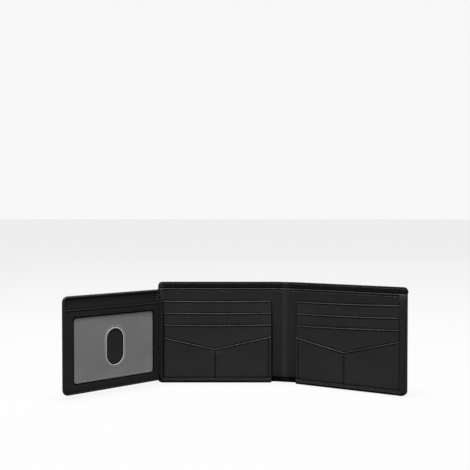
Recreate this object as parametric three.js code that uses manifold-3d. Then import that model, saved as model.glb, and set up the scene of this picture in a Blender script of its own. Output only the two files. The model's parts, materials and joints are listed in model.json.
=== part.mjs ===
// A bifold wallet with a flip-out identity window, standing open on its bottom edge.
// Millimetres, +Z up, the inside of the wallet faces -Y. The origin is the middle of the
// footprint, on the surface the wallet stands on.
import * as THREE from 'three';
import { mergeVertices } from 'three/addons/utils/BufferGeometryUtils.js';
import Module from 'manifold-3d';

const wasm = await Module();
wasm.setup();

// ---- driving dimensions --------------------------------------------------------------------
const COVER_HEIGHT = 90;
const HALF_WIDTH = 105.5; // from a half's fold line to its outer edge
const FOLD_SPACING = 16.7; // between the two fold lines of the spine
const HALF_FOLD_DEG = 15.7; // turned at each fold line as the wallet stands
const CORNER_RADIUS = 4;

// Layers of a half, as [front, back] in Y with the fold lines at Y = 0.
const COVER = [1.4, 2.6];
const COVER_LINING = [1.05, 1.3];
const TOP_BAND = [0.75, 1.3];
const DIVIDER = [-0.45, 0.1];
const DIVIDER_LINING = [0.2, 0.45];
const POCKET_PITCH_Y = 0.8; // from one pocket face to the next
const FIRST_POCKET = [-1.25, -0.55];
const LINING_INSET = 0.2; // a pocket's lining is this much thinner on each side than its face
const CORNER_POCKET = [-3.75, -2.95];
const TURNED_BORDER = [-4.75, -3.85];
const HINGE_STRIP = [-5.85, -4.85];

// Heights and widths of a half.
const EDGE_WALL = 1; // cover leather where it turns round an edge
const EDGE_GAP = 0.3; // between that wall and the layers inside it
const BORDER_BOTTOM = 4.4;
const BORDER_SIDE = 5;
const STACK_START = 4; // pockets begin this far from the fold line
const LEAF_START = 0.55; // divider and linings begin this far from a fold line
const COVER_START = 0.3;
const DIVIDER_TOP = 84.1;
const SPINE_HEM = 4.8; // height of the cover's hem under the spine's divider
const TOP_BAND_BOTTOM = 78;
const TOP_BAND_TOP = 89.7;
const SLOT_TOP = 73; // upper edge of the first card slot
const SLOT_PITCH = 10.6;
const SLOT_COUNT = 3;
const FACE_OVERLAP = 4.4; // a slot's leather face runs this far behind the next edge below it
const CORNER_POCKET_START = 41.2; // upper edge of the corner pocket beside the spine
// How each half's pockets are cut: how far the slots' edges rise towards the outer side, where the
// corner pocket's dip is as a share of its width, and its height there and at the outer side.
const POCKETS = {
  left: { slotRise: [0, 0, 0], dipShare: 0.5, dip: 30, cornerEnd: 41.2 },
  right: { slotRise: [2, 2.4, 3], dipShare: 0.458, dip: 31.9, cornerEnd: 46 },
};
const SEAM_INSET = 2.4; // from an edge to the row of stitches beside it
const COVER_SEAM_INSET = 1.7;
const THREAD_WIDTH = 0.4;
const THREAD_RISE = 0.2;
const THREAD_GAP = 0.05;
const ROW_STOP = 1; // a row of stitches stops this far from an edge or a seam it runs up to
const SEAM_STOP = 3; // and the seam beside the spine this far below the corner pocket's edge
const LINING_DROP = 1; // the divider's lining ends this far below the divider's edge

// The flap. Its own X runs from the hinge line to its free edge, its layers are [front, back].
const FLAP_REST_DEG = 44; // turned towards the viewer from flat open
const HINGE_INSET = 1; // of the hinge line from the cover's outer edge
const HINGE_Y = -6.4;
const FLAP_START = 1.6;
const FLAP_END = 98.5;
const FLAP_BOTTOM = 2.6;
const FLAP_TOP = 83.8;
const FLAP_RADIUS = 5;
const FLAP_FRAME = [0, 0.55];
const FLAP_FILM = [0.65, 0.85];
const FLAP_INNER = [1.2, 1.6];
const FLAP_BACK = [1.7, 2.5];
const ID_SLOT_TOP = 72.5;
const WINDOW = { start: 6, end: 87.9, bottom: 11.2, top: 65, radius: 2.5 };
const FILM_MARGIN = 2.2;
const FILM_RADIUS = 1;
const THUMB_WIDTH = 17.4;
const THUMB_HEIGHT = 31;
const STRIP_START = 0.3; // hinge strip, measured from the cover's outer edge
const STRIP_END = 5.2;

const ARC_STEPS = 6;
const SMALL_ARC_STEPS = 3;
const THUMB_ARC_STEPS = 12;
const WELD = 1e-4; // points closer than this are one

// ---- materials -----------------------------------------------------------------------------
const leather = new THREE.MeshStandardMaterial({ color: 0x29282a, roughness: 0.55, metalness: 0 });
const liningCloth = new THREE.MeshStandardMaterial({ color: 0x1b1b1d, roughness: 0.9, metalness: 0 });
const thread = new THREE.MeshStandardMaterial({ color: 0x202022, roughness: 0.7, metalness: 0 });
const film = new THREE.MeshStandardMaterial({
  color: 0x8a8a8c, roughness: 0.3, metalness: 0, transparent: true, opacity: 0.5,
});

// ---- outlines and plates -------------------------------------------------------------------
/** Points of an arc round (x, y), from one angle to another, in degrees. */
function arc(x, y, radius, from, to, steps = ARC_STEPS) {
  const points = [];
  for (let i = 0; i <= steps; i += 1) {
    const angle = THREE.MathUtils.degToRad(from + ((to - from) * i) / steps);
    points.push([x + radius * Math.cos(angle), y + radius * Math.sin(angle)]);
  }
  return points;
}

/** Rectangle with a radius for each corner: bottom right, top right, top left, bottom left. */
function roundedBox(left, right, bottom, top, radii) {
  const [br, tr, tl, bl] = radii;
  const corner = (x, y, radius, from) => (radius > 0 ? arc(x, y, radius, from, from + 90) : [[x, y]]);
  return [
    ...corner(right - br, bottom + br, br, -90),
    ...corner(right - tr, top - tr, tr, 0),
    ...corner(left + tl, top - tl, tl, 90),
    ...corner(left + bl, bottom + bl, bl, 180),
  ];
}

/** Upright plate: an outline in X and Z, side -1 mirrors it, filled between two Y values. */
function plate(outline, [front, back], side = 1, hole = null) {
  const toPoint = ([x, z]) => new THREE.Vector2(side * x, z);
  const shape = new THREE.Shape(outline.map(toPoint));
  if (hole) {
    shape.holes.push(new THREE.Path(hole.map(toPoint)));
  }
  const geometry = new THREE.ExtrudeGeometry(shape, { depth: back - front, bevelEnabled: false });
  geometry.rotateX(Math.PI / 2);
  geometry.translate(0, back, 0);
  return geometry;
}

/** Named mesh of one sub-part. */
function part(name, geometry, material) {
  const mesh = new THREE.Mesh(geometry, material);
  mesh.name = name;
  return mesh;
}

/** Closed geometry as a manifold-3d solid. */
function toSolid(geometry) {
  const bare = geometry.clone();
  bare.deleteAttribute('normal');
  bare.deleteAttribute('uv');
  const merged = mergeVertices(bare, WELD);
  const mesh = new wasm.Mesh({
    numProp: 3,
    vertProperties: new Float32Array(merged.attributes.position.array),
    triVerts: new Uint32Array(merged.index.array),
  });
  return new wasm.Manifold(mesh);
}

/** Several overlapping closed geometries joined into one. */
function join(geometries) {
  const solid = geometries.map(toSolid).reduce((sum, next) => sum.add(next));
  const mesh = solid.getMesh();
  const geometry = new THREE.BufferGeometry();
  geometry.setAttribute('position', new THREE.BufferAttribute(mesh.vertProperties, 3));
  geometry.setIndex(new THREE.BufferAttribute(mesh.triVerts, 1));
  geometry.computeVertexNormals();
  return geometry;
}

/** Flat bar of thread that lies in front of a face, along an open line of points. */
function threadAlong(points, face, side = 1) {
  const offset = (pair, sign) => {
    const [[x0, z0], [x1, z1]] = pair;
    const length = Math.hypot(x1 - x0, z1 - z0);
    const half = (sign * THREAD_WIDTH) / 2;
    return [(-(z1 - z0) / length) * half, ((x1 - x0) / length) * half];
  };
  const edge = (sign) => points.map(([x, z], i) => {
    const before = points[Math.max(i - 1, 0)];
    const after = points[Math.min(i + 1, points.length - 1)];
    const [dx, dz] = offset([before, after], sign);
    return [x + dx, z + dz];
  });
  const outline = [...edge(1), ...edge(-1).reverse()];
  return plate(outline, [face - THREAD_GAP - THREAD_RISE, face - THREAD_GAP], side);
}

// ---- one half of the wallet ----------------------------------------------------------------
/** L-shaped strip along a half's bottom and outer edges. */
function edgeStrip(bottom, width) {
  const inner = Math.max(CORNER_RADIUS - width, EDGE_WALL);
  return [
    [STACK_START, 0],
    ...arc(HALF_WIDTH - CORNER_RADIUS, CORNER_RADIUS, CORNER_RADIUS, -90, 0),
    [HALF_WIDTH, DIVIDER_TOP],
    [HALF_WIDTH - width, DIVIDER_TOP],
    ...arc(HALF_WIDTH - width - inner, bottom + inner, inner, 0, -90),
    [STACK_START, bottom],
  ];
}

/** Cover leather of a half, turned round the bottom and outer edges onto the inside. */
function halfCover(side) {
  const sheet = roundedBox(COVER_START, HALF_WIDTH, 0, COVER_HEIGHT, [CORNER_RADIUS, CORNER_RADIUS, 0, 0]);
  const wall = edgeStrip(EDGE_WALL, EDGE_WALL);
  const border = edgeStrip(BORDER_BOTTOM, BORDER_SIDE);
  return join([
    plate(sheet, COVER, side),
    plate(wall, [TURNED_BORDER[0], COVER[1]], side),
    plate(border, TURNED_BORDER, side),
  ]);
}

/** Outline of a layer that lies inside the turned edge, its top rising towards the outer side. */
function leaf(start, bottom, top, rise = 0) {
  const inset = EDGE_WALL + EDGE_GAP;
  const low = bottom < CORNER_RADIUS ? CORNER_RADIUS - EDGE_WALL : 0;
  const outline = roundedBox(start, HALF_WIDTH - inset, bottom, top, [low, 0, 0, 0]);
  outline[outline.length - 3][1] += rise;
  return outline;
}

/** Divider outline: its lower corner by the fold line is cut away above the spine's hem. */
function dividerLeaf() {
  const bottom = EDGE_WALL + EDGE_GAP;
  const outline = leaf(STACK_START, bottom, DIVIDER_TOP);
  const [outerEdge, lowCorner] = [outline.slice(0, -2), outline.slice(-1)[0]];
  return [
    ...outerEdge,
    [LEAF_START, DIVIDER_TOP],
    [LEAF_START, SPINE_HEM + EDGE_GAP],
    [STACK_START, SPINE_HEM + EDGE_GAP],
    lowCorner,
  ];
}

/** Front and back of card slot number index, counted from the top. */
function pocketLayer(index) {
  return FIRST_POCKET.map((y) => y - index * POCKET_PITCH_Y);
}

/** Leather faces and cloth linings of the card slots. */
function cardSlots(name, side) {
  const bottom = EDGE_WALL + EDGE_GAP;
  const parts = [];
  for (let i = 0; i < SLOT_COUNT; i += 1) {
    const top = SLOT_TOP - i * SLOT_PITCH;
    const nextEdge = i === SLOT_COUNT - 1 ? POCKETS[name].dip : top - SLOT_PITCH;
    const seam = nextEdge - FACE_OVERLAP;
    const [front, back] = pocketLayer(i);
    const outline = leaf(STACK_START, seam, top, POCKETS[name].slotRise[i]);
    const face = plate(outline, [front, back], side);
    const cloth = [front + LINING_INSET, back - LINING_INSET];
    const lining = plate(leaf(STACK_START, bottom, seam - THREAD_GAP), cloth, side);
    parts.push(part(`${name}_card_slot_${i + 1}`, face, leather));
    parts.push(part(`${name}_card_slot_lining_${i + 1}`, lining, liningCloth));
  }
  return parts;
}

/** Place of a half's dip, measured from the fold line. */
function dipPlace(name) {
  const width = HALF_WIDTH - EDGE_WALL - EDGE_GAP - STACK_START;
  return STACK_START + width * POCKETS[name].dipShare;
}

/** Corner pocket: the front layer, whose upper edge dips. */
function cornerPocket(name, side) {
  const bottom = EDGE_WALL + EDGE_GAP;
  const outer = HALF_WIDTH - bottom;
  const low = CORNER_RADIUS - EDGE_WALL;
  const outline = [
    [STACK_START, bottom],
    ...arc(outer - low, bottom + low, low, -90, 0),
    [outer, POCKETS[name].cornerEnd],
    [dipPlace(name), POCKETS[name].dip],
    [STACK_START, CORNER_POCKET_START],
  ];
  return plate(outline, CORNER_POCKET, side);
}

/** Line of the stitches along a half's border. Under the hinge strip there are none. */
function borderRow(underStrip) {
  const outer = HALF_WIDTH - SEAM_INSET;
  const bend = CORNER_RADIUS - SEAM_INSET;
  const first = [STACK_START + THREAD_WIDTH, SEAM_INSET];
  if (underStrip) {
    return [first, [HALF_WIDTH - STRIP_END - EDGE_GAP, SEAM_INSET]];
  }
  const corner = arc(outer - bend, SEAM_INSET + bend, bend, -90, 0, SMALL_ARC_STEPS);
  return [first, ...corner, [outer, DIVIDER_TOP - THREAD_WIDTH]];
}

/** Rows of stitches of a half. */
function halfStitches(name, side, underStrip) {
  const outer = HALF_WIDTH - SEAM_INSET;
  const seamX = STACK_START + SEAM_INSET;
  const border = borderRow(underStrip);
  const middle = dipPlace(name);
  const rows = {
    border_stitching: [border, TURNED_BORDER[0]],
    seam_stitching: [
      [[seamX, BORDER_BOTTOM + ROW_STOP], [seamX, CORNER_POCKET_START - SEAM_STOP]], CORNER_POCKET[0],
    ],
    pocket_stitching: [
      [[middle, BORDER_BOTTOM + ROW_STOP], [middle, POCKETS[name].dip - ROW_STOP]],
      CORNER_POCKET[0],
    ],
    divider_stitching: [
      [[LEAF_START + ROW_STOP, DIVIDER_TOP - SEAM_INSET], [outer, DIVIDER_TOP - SEAM_INSET]], DIVIDER[0],
    ],
    cover_stitching: [
      [[LEAF_START + ROW_STOP, COVER_HEIGHT - COVER_SEAM_INSET], [outer, COVER_HEIGHT - COVER_SEAM_INSET]],
      TOP_BAND[0],
    ],
  };
  return Object.entries(rows).map(
    ([row, [points, face]]) => part(`${name}_${row}`, threadAlong(points, face, side), thread),
  );
}

/** Everything of one half, in a group whose origin is on its fold line. */
function buildHalf(name, side, underStrip) {
  const group = new THREE.Group();
  const bottom = EDGE_WALL + EDGE_GAP;
  const band = leaf(LEAF_START, TOP_BAND_BOTTOM, TOP_BAND_TOP);
  const coverLining = leaf(LEAF_START, bottom, TOP_BAND_BOTTOM - EDGE_GAP);
  const dividerLining = leaf(STACK_START, bottom, DIVIDER_TOP - LINING_DROP);
  group.add(part(`${name}_cover`, halfCover(side), leather));
  group.add(part(`${name}_cover_lining`, plate(coverLining, COVER_LINING, side), liningCloth));
  group.add(part(`${name}_top_band`, plate(band, TOP_BAND, side), leather));
  group.add(part(`${name}_divider`, plate(dividerLeaf(), DIVIDER, side), leather));
  group.add(part(`${name}_divider_lining`, plate(dividerLining, DIVIDER_LINING, side), liningCloth));
  group.add(...cardSlots(name, side));
  group.add(part(`${name}_corner_pocket`, cornerPocket(name, side), leather));
  group.add(...halfStitches(name, side, underStrip));
  return group;
}

// ---- spine ---------------------------------------------------------------------------------
/** Plate across the spine, clear of both fold lines. */
function spinePlate(clearance, bottom, top, layer) {
  return plate(roundedBox(clearance, FOLD_SPACING - clearance, bottom, top, [0, 0, 0, 0]), layer);
}

/** The spine's own layers, in a group whose origin is on the left fold line. */
function buildSpine() {
  const group = new THREE.Group();
  const hem = [TOP_BAND[0], COVER[1]];
  const cover = join([
    spinePlate(COVER_START, 0, COVER_HEIGHT, COVER),
    spinePlate(COVER_START, 0, SPINE_HEM, hem),
  ]);
  const rowY = DIVIDER_TOP - SEAM_INSET;
  const row = [[LEAF_START + ROW_STOP, rowY], [FOLD_SPACING - LEAF_START - ROW_STOP, rowY]];
  const leafBottom = SPINE_HEM + EDGE_GAP;
  group.add(part('spine_cover', cover, leather));
  group.add(part('spine_lining',
    spinePlate(LEAF_START, leafBottom, TOP_BAND_BOTTOM - EDGE_GAP, COVER_LINING), liningCloth));
  group.add(part('spine_top_band',
    spinePlate(LEAF_START, TOP_BAND_BOTTOM, TOP_BAND_TOP, TOP_BAND), leather));
  group.add(part('spine_divider', spinePlate(LEAF_START, leafBottom, DIVIDER_TOP, DIVIDER), leather));
  group.add(part('spine_divider_lining',
    spinePlate(LEAF_START, leafBottom, DIVIDER_TOP - LINING_DROP, DIVIDER_LINING), liningCloth));
  group.add(part('spine_divider_stitching', threadAlong(row, DIVIDER[0]), thread));
  return group;
}

// ---- flap ----------------------------------------------------------------------------------
/** Strip of the flap's leather that is sewn onto the left half's outer border. */
function hingeStrip() {
  const corner = FLAP_RADIUS - EDGE_WALL;
  const outline = roundedBox(
    HALF_WIDTH - STRIP_END, HALF_WIDTH - STRIP_START, FLAP_BOTTOM, FLAP_TOP, [0, 0, corner, corner],
  );
  return plate(outline, HINGE_STRIP, -1);
}

/** Stitches through the hinge strip. */
function hingeStitches() {
  const x = HALF_WIDTH - STRIP_END + SEAM_INSET;
  const row = [[x, FLAP_BOTTOM + FLAP_RADIUS], [x, FLAP_TOP - FLAP_RADIUS]];
  return threadAlong(row, HINGE_STRIP[0], -1);
}

/** Outline of a full layer of the flap, set in by some amount. */
function flapOutline(inset) {
  const radii = [FLAP_RADIUS - inset, FLAP_RADIUS - inset, 0, 0];
  return roundedBox(FLAP_START, FLAP_END - inset, FLAP_BOTTOM + inset, FLAP_TOP - inset, radii);
}

/** Window frame with its window. Its upper edge is the mouth of the card pocket behind. */
function flapFrame() {
  const outline = roundedBox(FLAP_START, FLAP_END, FLAP_BOTTOM, ID_SLOT_TOP, [FLAP_RADIUS, 0, 0, 0]);
  const { start, end, bottom, top, radius } = WINDOW;
  const hole = roundedBox(start, end, bottom, top, [radius, radius, radius, radius]);
  return plate(outline, FLAP_FRAME, -1, hole.reverse());
}

/** Clear film with a thumb hole through its middle. */
function flapFilm() {
  const { start, end, bottom, top } = WINDOW;
  const outline = roundedBox(
    start - FILM_MARGIN, end + FILM_MARGIN, bottom - FILM_MARGIN, top + FILM_MARGIN,
    [FILM_RADIUS, FILM_RADIUS, FILM_RADIUS, FILM_RADIUS],
  );
  const [x, z] = [(start + end) / 2, (bottom + top) / 2];
  const radius = THUMB_WIDTH / 2;
  const rise = THUMB_HEIGHT / 2 - radius;
  const hole = [
    ...arc(x, z + rise, radius, 0, 180, THUMB_ARC_STEPS),
    ...arc(x, z - rise, radius, 180, 360, THUMB_ARC_STEPS),
  ];
  return plate(outline, FLAP_FILM, -1, hole.reverse());
}

/** Stitches round the flap's three free edges. */
function flapStitches() {
  const inset = SEAM_INSET;
  const [right, bottom] = [FLAP_END - inset, FLAP_BOTTOM + inset];
  const bend = FLAP_RADIUS - inset;
  const row = [
    [FLAP_START + ROW_STOP, bottom],
    ...arc(right - bend, bottom + bend, bend, -90, 0, SMALL_ARC_STEPS),
    [right, ID_SLOT_TOP - ROW_STOP],
  ];
  return threadAlong(row, FLAP_FRAME[0], -1);
}

/** Everything that swings with the flap, in a group whose origin is on the hinge line. */
function buildFlap() {
  const group = new THREE.Group();
  group.add(part('flap_back', plate(flapOutline(0), FLAP_BACK, -1), leather));
  group.add(part('flap_inner_face', plate(flapOutline(EDGE_GAP), FLAP_INNER, -1), leather));
  group.add(part('flap_window_film', flapFilm(), film));
  group.add(part('flap_window_frame', flapFrame(), leather));
  group.add(part('flap_stitching', flapStitches(), thread));
  return group;
}

// ---- assembly ------------------------------------------------------------------------------
/** Whole wallet, standing open, with its origin in the middle of its footprint. */
function buildWallet() {
  const halfFold = THREE.MathUtils.degToRad(HALF_FOLD_DEG);

  const left = buildHalf('left', -1, true);
  left.add(part('flap_hinge_strip', hingeStrip(), leather));
  left.add(part('flap_hinge_stitching', hingeStitches(), thread));

  const flap = buildFlap();
  flap.position.set(HINGE_INSET - HALF_WIDTH, HINGE_Y, 0);
  flap.rotation.z = THREE.MathUtils.degToRad(FLAP_REST_DEG);

  const right = buildHalf('right', 1, false);
  right.position.x = FOLD_SPACING;
  right.rotation.z = -halfFold;

  const spine = buildSpine();
  spine.rotation.z = -halfFold;
  spine.add(right);

  const body = new THREE.Group();
  body.add(left, flap, spine);
  const wallet = new THREE.Group();
  wallet.add(body);
  wallet.updateMatrixWorld(true);
  const box = new THREE.Box3().setFromObject(wallet, true);
  const centre = box.getCenter(new THREE.Vector3());
  body.position.set(-centre.x, -centre.y, -box.min.z);
  wallet.updateMatrixWorld(true);
  return wallet;
}

export default buildWallet();
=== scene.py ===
"""Looks of a black leather bifold wallet with a flip-out identity window flap.

Every piece is modelled flat, in metres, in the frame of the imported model: X along the open wallet,
the pockets facing -Y, Z up. It is then folded to the angles at which the wallet stands.
"""

import json
import logging
import math
from collections.abc import Callable, Iterator
from contextlib import contextmanager
from dataclasses import dataclass, field
from enum import Enum

import bmesh
import bpy
from bmesh.types import BMEdge, BMFace, BMVert
from bpy.types import Material, Node, NodeSocket, NodeTree, Object
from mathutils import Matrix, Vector, noise
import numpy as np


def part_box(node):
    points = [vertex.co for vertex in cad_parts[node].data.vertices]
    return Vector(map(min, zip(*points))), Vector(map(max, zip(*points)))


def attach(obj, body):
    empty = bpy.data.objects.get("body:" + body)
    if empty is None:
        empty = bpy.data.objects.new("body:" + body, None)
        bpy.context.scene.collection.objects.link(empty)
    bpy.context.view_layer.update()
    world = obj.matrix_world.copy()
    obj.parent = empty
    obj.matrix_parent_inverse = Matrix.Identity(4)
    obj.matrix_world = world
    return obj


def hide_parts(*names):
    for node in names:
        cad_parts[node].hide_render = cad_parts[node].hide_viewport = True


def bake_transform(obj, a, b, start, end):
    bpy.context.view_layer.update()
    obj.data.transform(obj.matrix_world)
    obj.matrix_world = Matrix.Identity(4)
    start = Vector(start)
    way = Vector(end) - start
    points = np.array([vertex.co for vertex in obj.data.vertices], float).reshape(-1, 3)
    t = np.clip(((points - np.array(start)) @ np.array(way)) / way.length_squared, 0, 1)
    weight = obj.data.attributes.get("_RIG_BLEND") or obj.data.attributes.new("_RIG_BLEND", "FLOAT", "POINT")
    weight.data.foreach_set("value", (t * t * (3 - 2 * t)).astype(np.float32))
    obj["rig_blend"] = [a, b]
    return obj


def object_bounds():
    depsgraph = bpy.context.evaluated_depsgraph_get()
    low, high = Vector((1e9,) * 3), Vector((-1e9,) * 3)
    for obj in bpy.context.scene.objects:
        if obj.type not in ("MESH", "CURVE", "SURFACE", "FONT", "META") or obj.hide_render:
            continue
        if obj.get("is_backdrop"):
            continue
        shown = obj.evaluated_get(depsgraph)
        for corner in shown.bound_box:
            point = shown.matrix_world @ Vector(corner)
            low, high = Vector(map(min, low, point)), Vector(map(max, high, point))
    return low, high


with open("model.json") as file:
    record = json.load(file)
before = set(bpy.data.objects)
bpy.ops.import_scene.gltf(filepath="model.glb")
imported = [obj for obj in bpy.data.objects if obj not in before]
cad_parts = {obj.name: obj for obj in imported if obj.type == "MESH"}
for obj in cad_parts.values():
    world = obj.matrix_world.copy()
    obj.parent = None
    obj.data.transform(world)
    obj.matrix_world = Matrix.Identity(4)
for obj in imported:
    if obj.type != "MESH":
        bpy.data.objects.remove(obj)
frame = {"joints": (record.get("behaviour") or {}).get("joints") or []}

log = logging.getLogger("wallet")

MM = 0.001
GROOVE_SHADE = "pressed"  # point attribute: painted shade in a crease, how dark it is, 0 to 1
FLAT_MAP = "flat"  # UV map of a piece's own X and Z in millimetres, before it is folded
TOUCH = 1e-6  # places this close are one place
CUT_GAP = 1e-7  # a cut this close to a vertex goes through it
FACE_SLACK = 1e-5  # a vertex this close to a leaf's front is on it
TRIMMED = 0.24  # a cut leather edge is rounded by this share of its thickness
CORNER_STEPS = 8
GRID_PITCH = 6.0 * MM  # of the cuts that let a leaf stand off flat
ROUND_CUTS = (0.12, 0.34, 0.62, 1.0)  # across a rounded edge, as shares of its height
CURL_CUTS = (0.12, 0.32, 0.62, 1.0)  # across the cover's rolled lower edge
GROOVE_CUTS = (-0.9, -0.5, 0.0, 0.5, 0.9)  # across a groove, in widths
SHADE_REACH = 0.6  # of a groove's painted shade to each side, in widths
ACROSS = Vector((1, 0, 0))
UP = Vector((0, 0, 1))
# How a half's layers wave: height in millimetres, scale along X, seed, scale along Z.
WAVES = ((0.35, 19, 3.1, 23), (0.07, 55, 7.7, 60))


# ---- shared measures -----------------------------------------------------------------------
def smooth(share: float) -> float:
    """Smooth step from 0 to 1, flat outside that range."""
    share = min(max(share, 0.0), 1.0)
    return share * share * (3 - 2 * share)


def span(name: str, axis: int) -> tuple[float, float]:
    """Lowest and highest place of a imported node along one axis."""
    low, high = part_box(name)
    return low[axis], high[axis]


class Side(Enum):
    """Which half of the wallet, and the way from its fold line to its outer edge."""

    LEFT = -1
    RIGHT = 1

    @property
    def word(self) -> str:
        """Name of the half as it starts a piece's name."""
        return self.name.lower()


class Element(Enum):
    """What edit mode selects."""

    VERTS = "VERT"
    EDGES = "EDGE"
    FACES = "FACE"


@dataclass(frozen=True)
class FoldLine:
    """An upright line at which leather bends.

    The angle is the turn at rest, counter-clockwise from above, of what lies on the far side.
    """

    x: float
    y: float
    angle: float
    far_side: int
    reach: float

    def turned(self, x: float, y: float, flat_x: float) -> tuple[float, float]:
        """Place of a point after this bend.

        Args:
            x: its X so far.
            y: its Y so far.
            flat_x: its X on the flat piece, which says how much of the bend it has.

        Returns:
            The new X and Y.
        """
        share = smooth((self.far_side * (flat_x - self.x) + self.reach) / (2 * self.reach))
        angle = self.angle * share
        dx, dy = x - self.x, y - self.y
        turned_x = self.x + dx * math.cos(angle) - dy * math.sin(angle)
        turned_y = self.y + dx * math.sin(angle) + dy * math.cos(angle)
        return turned_x, turned_y


@dataclass(frozen=True)
class Joint:
    """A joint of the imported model, with the bodies on its two sides."""

    name: str

    @property
    def facts(self) -> dict:
        """The joint's entry in the frame."""
        return next(j for j in frame["joints"] if j["name"] == self.name)

    @property
    def place(self) -> Vector:
        """A point on the joint's axis."""
        return Vector(self.facts["pos_m"])

    @property
    def rest_turn(self) -> float:
        """Turn from flat to rest, counter-clockwise from above, in radians."""
        return -math.radians(self.facts["range_deg"][0]) * self.facts["axis"][2]


class Layout:
    """Where the fold lines are, on the flat wallet and as it stands."""

    BEND = 3.9 * MM
    FLAP_BEND = 4.1 * MM

    def __init__(self) -> None:
        """Reads the joints of the frame."""
        near, far, flap = Joint("left_fold"), Joint("right_fold"), Joint("flap_fold")
        self.origin = near.place
        self.spacing = (far.place - near.place).length
        self.far_place = far.place
        self.hinge = flap.place
        self.turns = (near.rest_turn, near.rest_turn + far.rest_turn)
        y = self.origin.y
        self.near_line = FoldLine(self.origin.x, y, near.rest_turn, 1, self.BEND)
        self.far_line = FoldLine(self.origin.x + self.spacing, y, far.rest_turn, 1, self.BEND)
        self.flap_line = FoldLine(self.hinge.x, self.hinge.y, flap.rest_turn, -1, self.FLAP_BEND)

    def fold_x(self, side: Side) -> float:
        """X of a half's fold line, flat."""
        return self.origin.x if side is Side.LEFT else self.origin.x + self.spacing

    def lines(self, on_flap: bool) -> list[FoldLine]:
        """The bends of a piece, the outermost first."""
        return [self.flap_line] if on_flap else [self.far_line, self.near_line]

    def stand(self, obj: Object, on_flap: bool = False) -> None:
        """Folds a flat piece to the angles at rest.

        Args:
            obj: the piece, flat.
            on_flap: whether it belongs to the flap.
        """
        for vertex in obj.data.vertices:
            flat_x = vertex.co.x
            x, y = flat_x, vertex.co.y
            for line in self.lines(on_flap):
                x, y = line.turned(x, y, flat_x)
            vertex.co.x, vertex.co.y = x, y
        obj.data.update()

    def join_bodies(self, obj: Object, side: Side) -> None:
        """Makes a standing piece bend with the fold line of one half.

        Args:
            obj: the piece.
            side: the half.
        """
        near_turn, far_turn = self.turns
        if side is Side.LEFT:
            ends = (self.origin, "left_half", "spine", 0.0, near_turn)
        else:
            ends = (self.far_place, "spine", "right_half", near_turn, far_turn)
        place, before, after, turn_before, turn_after = ends
        start = place - self.BEND * Vector((math.cos(turn_before), math.sin(turn_before), 0))
        end = place + self.BEND * Vector((math.cos(turn_after), math.sin(turn_after), 0))
        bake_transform(obj, before, after, start=start, end=end)

    def join_flap(self, obj: Object) -> None:
        """Makes a standing piece bend with the flap's hinge."""
        turn = math.pi + self.flap_line.angle
        start = self.hinge + self.FLAP_BEND * Vector((1, 0, 0))
        end = self.hinge + self.FLAP_BEND * Vector((math.cos(turn), math.sin(turn), 0))
        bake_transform(obj, "left_half", "flap", start=start, end=end)


# ---- bench tools ---------------------------------------------------------------------------
def select_only(*objects: Object) -> None:
    """Selects some objects and makes the first of them active.

    Args:
        *objects: what is selected, the active one first.
    """
    bpy.ops.object.select_all(action="DESELECT")
    for obj in objects:
        obj.select_set(True)
    bpy.context.view_layer.objects.active = objects[0]


@contextmanager
def editing(obj: Object, everything: bool = False) -> Iterator[None]:
    """Edit mode on one object, with all of it or nothing selected at first.

    Args:
        obj: the object.
        everything: whether all of it is selected.
    """
    select_only(obj)
    bpy.ops.object.mode_set(mode="EDIT")
    bpy.ops.mesh.select_all(action="SELECT" if everything else "DESELECT")
    yield
    bpy.ops.object.mode_set(mode="OBJECT")


def pick(obj: Object, kind: Element, wanted: Callable[..., bool]) -> int:
    """Selects elements in edit mode by a test.

    Args:
        obj: the object in edit mode.
        kind: what to select.
        wanted: the test, given a bmesh element.

    Returns:
        How many elements are selected.
    """
    bpy.ops.mesh.select_mode(type=kind.value)
    bpy.ops.mesh.select_all(action="DESELECT")
    shape = bmesh.from_edit_mesh(obj.data)
    items = {Element.VERTS: shape.verts, Element.EDGES: shape.edges, Element.FACES: shape.faces}[kind]
    chosen = [item for item in items if wanted(item)]
    for item in chosen:
        item.select_set(True)
    shape.select_flush_mode()
    bmesh.update_edit_mesh(obj.data)
    return len(chosen)


def cut(
    obj: Object,
    places: list[Vector],
    normal: Vector,
    among: Callable[..., bool] | None = None,
) -> None:
    """Cuts faces, in edit mode, along parallel planes.

    Args:
        obj: the object in edit mode.
        places: a point on each plane.
        normal: the planes' normal.
        among: which faces are cut, or all of them.
    """
    for place in places:
        pick(obj, Element.FACES, among or (lambda face: True))
        bpy.ops.mesh.bisect(plane_co=place, plane_no=normal, threshold=CUT_GAP)


def cut_upright(obj: Object, places: list[float], among: Callable[..., bool] | None = None) -> None:
    """Cuts faces, in edit mode, at some X."""
    cut(obj, [ACROSS * x for x in places], ACROSS, among)


def cut_level(obj: Object, places: list[float], among: Callable[..., bool] | None = None) -> None:
    """Cuts faces, in edit mode, at some Z."""
    cut(obj, [UP * z for z in places], UP, among)


def apply_modifier(obj: Object, kind: str, **settings: object) -> None:
    """Adds a modifier with settings and applies it.

    Args:
        obj: the object.
        kind: the modifier's type name.
        settings: the modifier's own settings.
    """
    select_only(obj)
    modifier = obj.modifiers.new(kind.lower(), kind)
    for key, value in settings.items():
        setattr(modifier, key, value)
    bpy.ops.object.modifier_apply(modifier=modifier.name)


def soften(obj: Object, width: float, segments: int = 3) -> None:
    """Rounds an object's sharp edges.

    Args:
        obj: the object.
        width: of the rounding.
        segments: of its curve.
    """
    apply_modifier(
        obj, "BEVEL", width=width, segments=segments, limit_method="ANGLE",
        angle_limit=math.radians(50), use_clamp_overlap=False,
    )


def polish(obj: Object, angle: float = 40.0) -> None:
    """Smooth shading, but for edges sharper than an angle in degrees."""
    select_only(obj)
    bpy.ops.object.shade_smooth_by_angle(angle=math.radians(angle))


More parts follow.
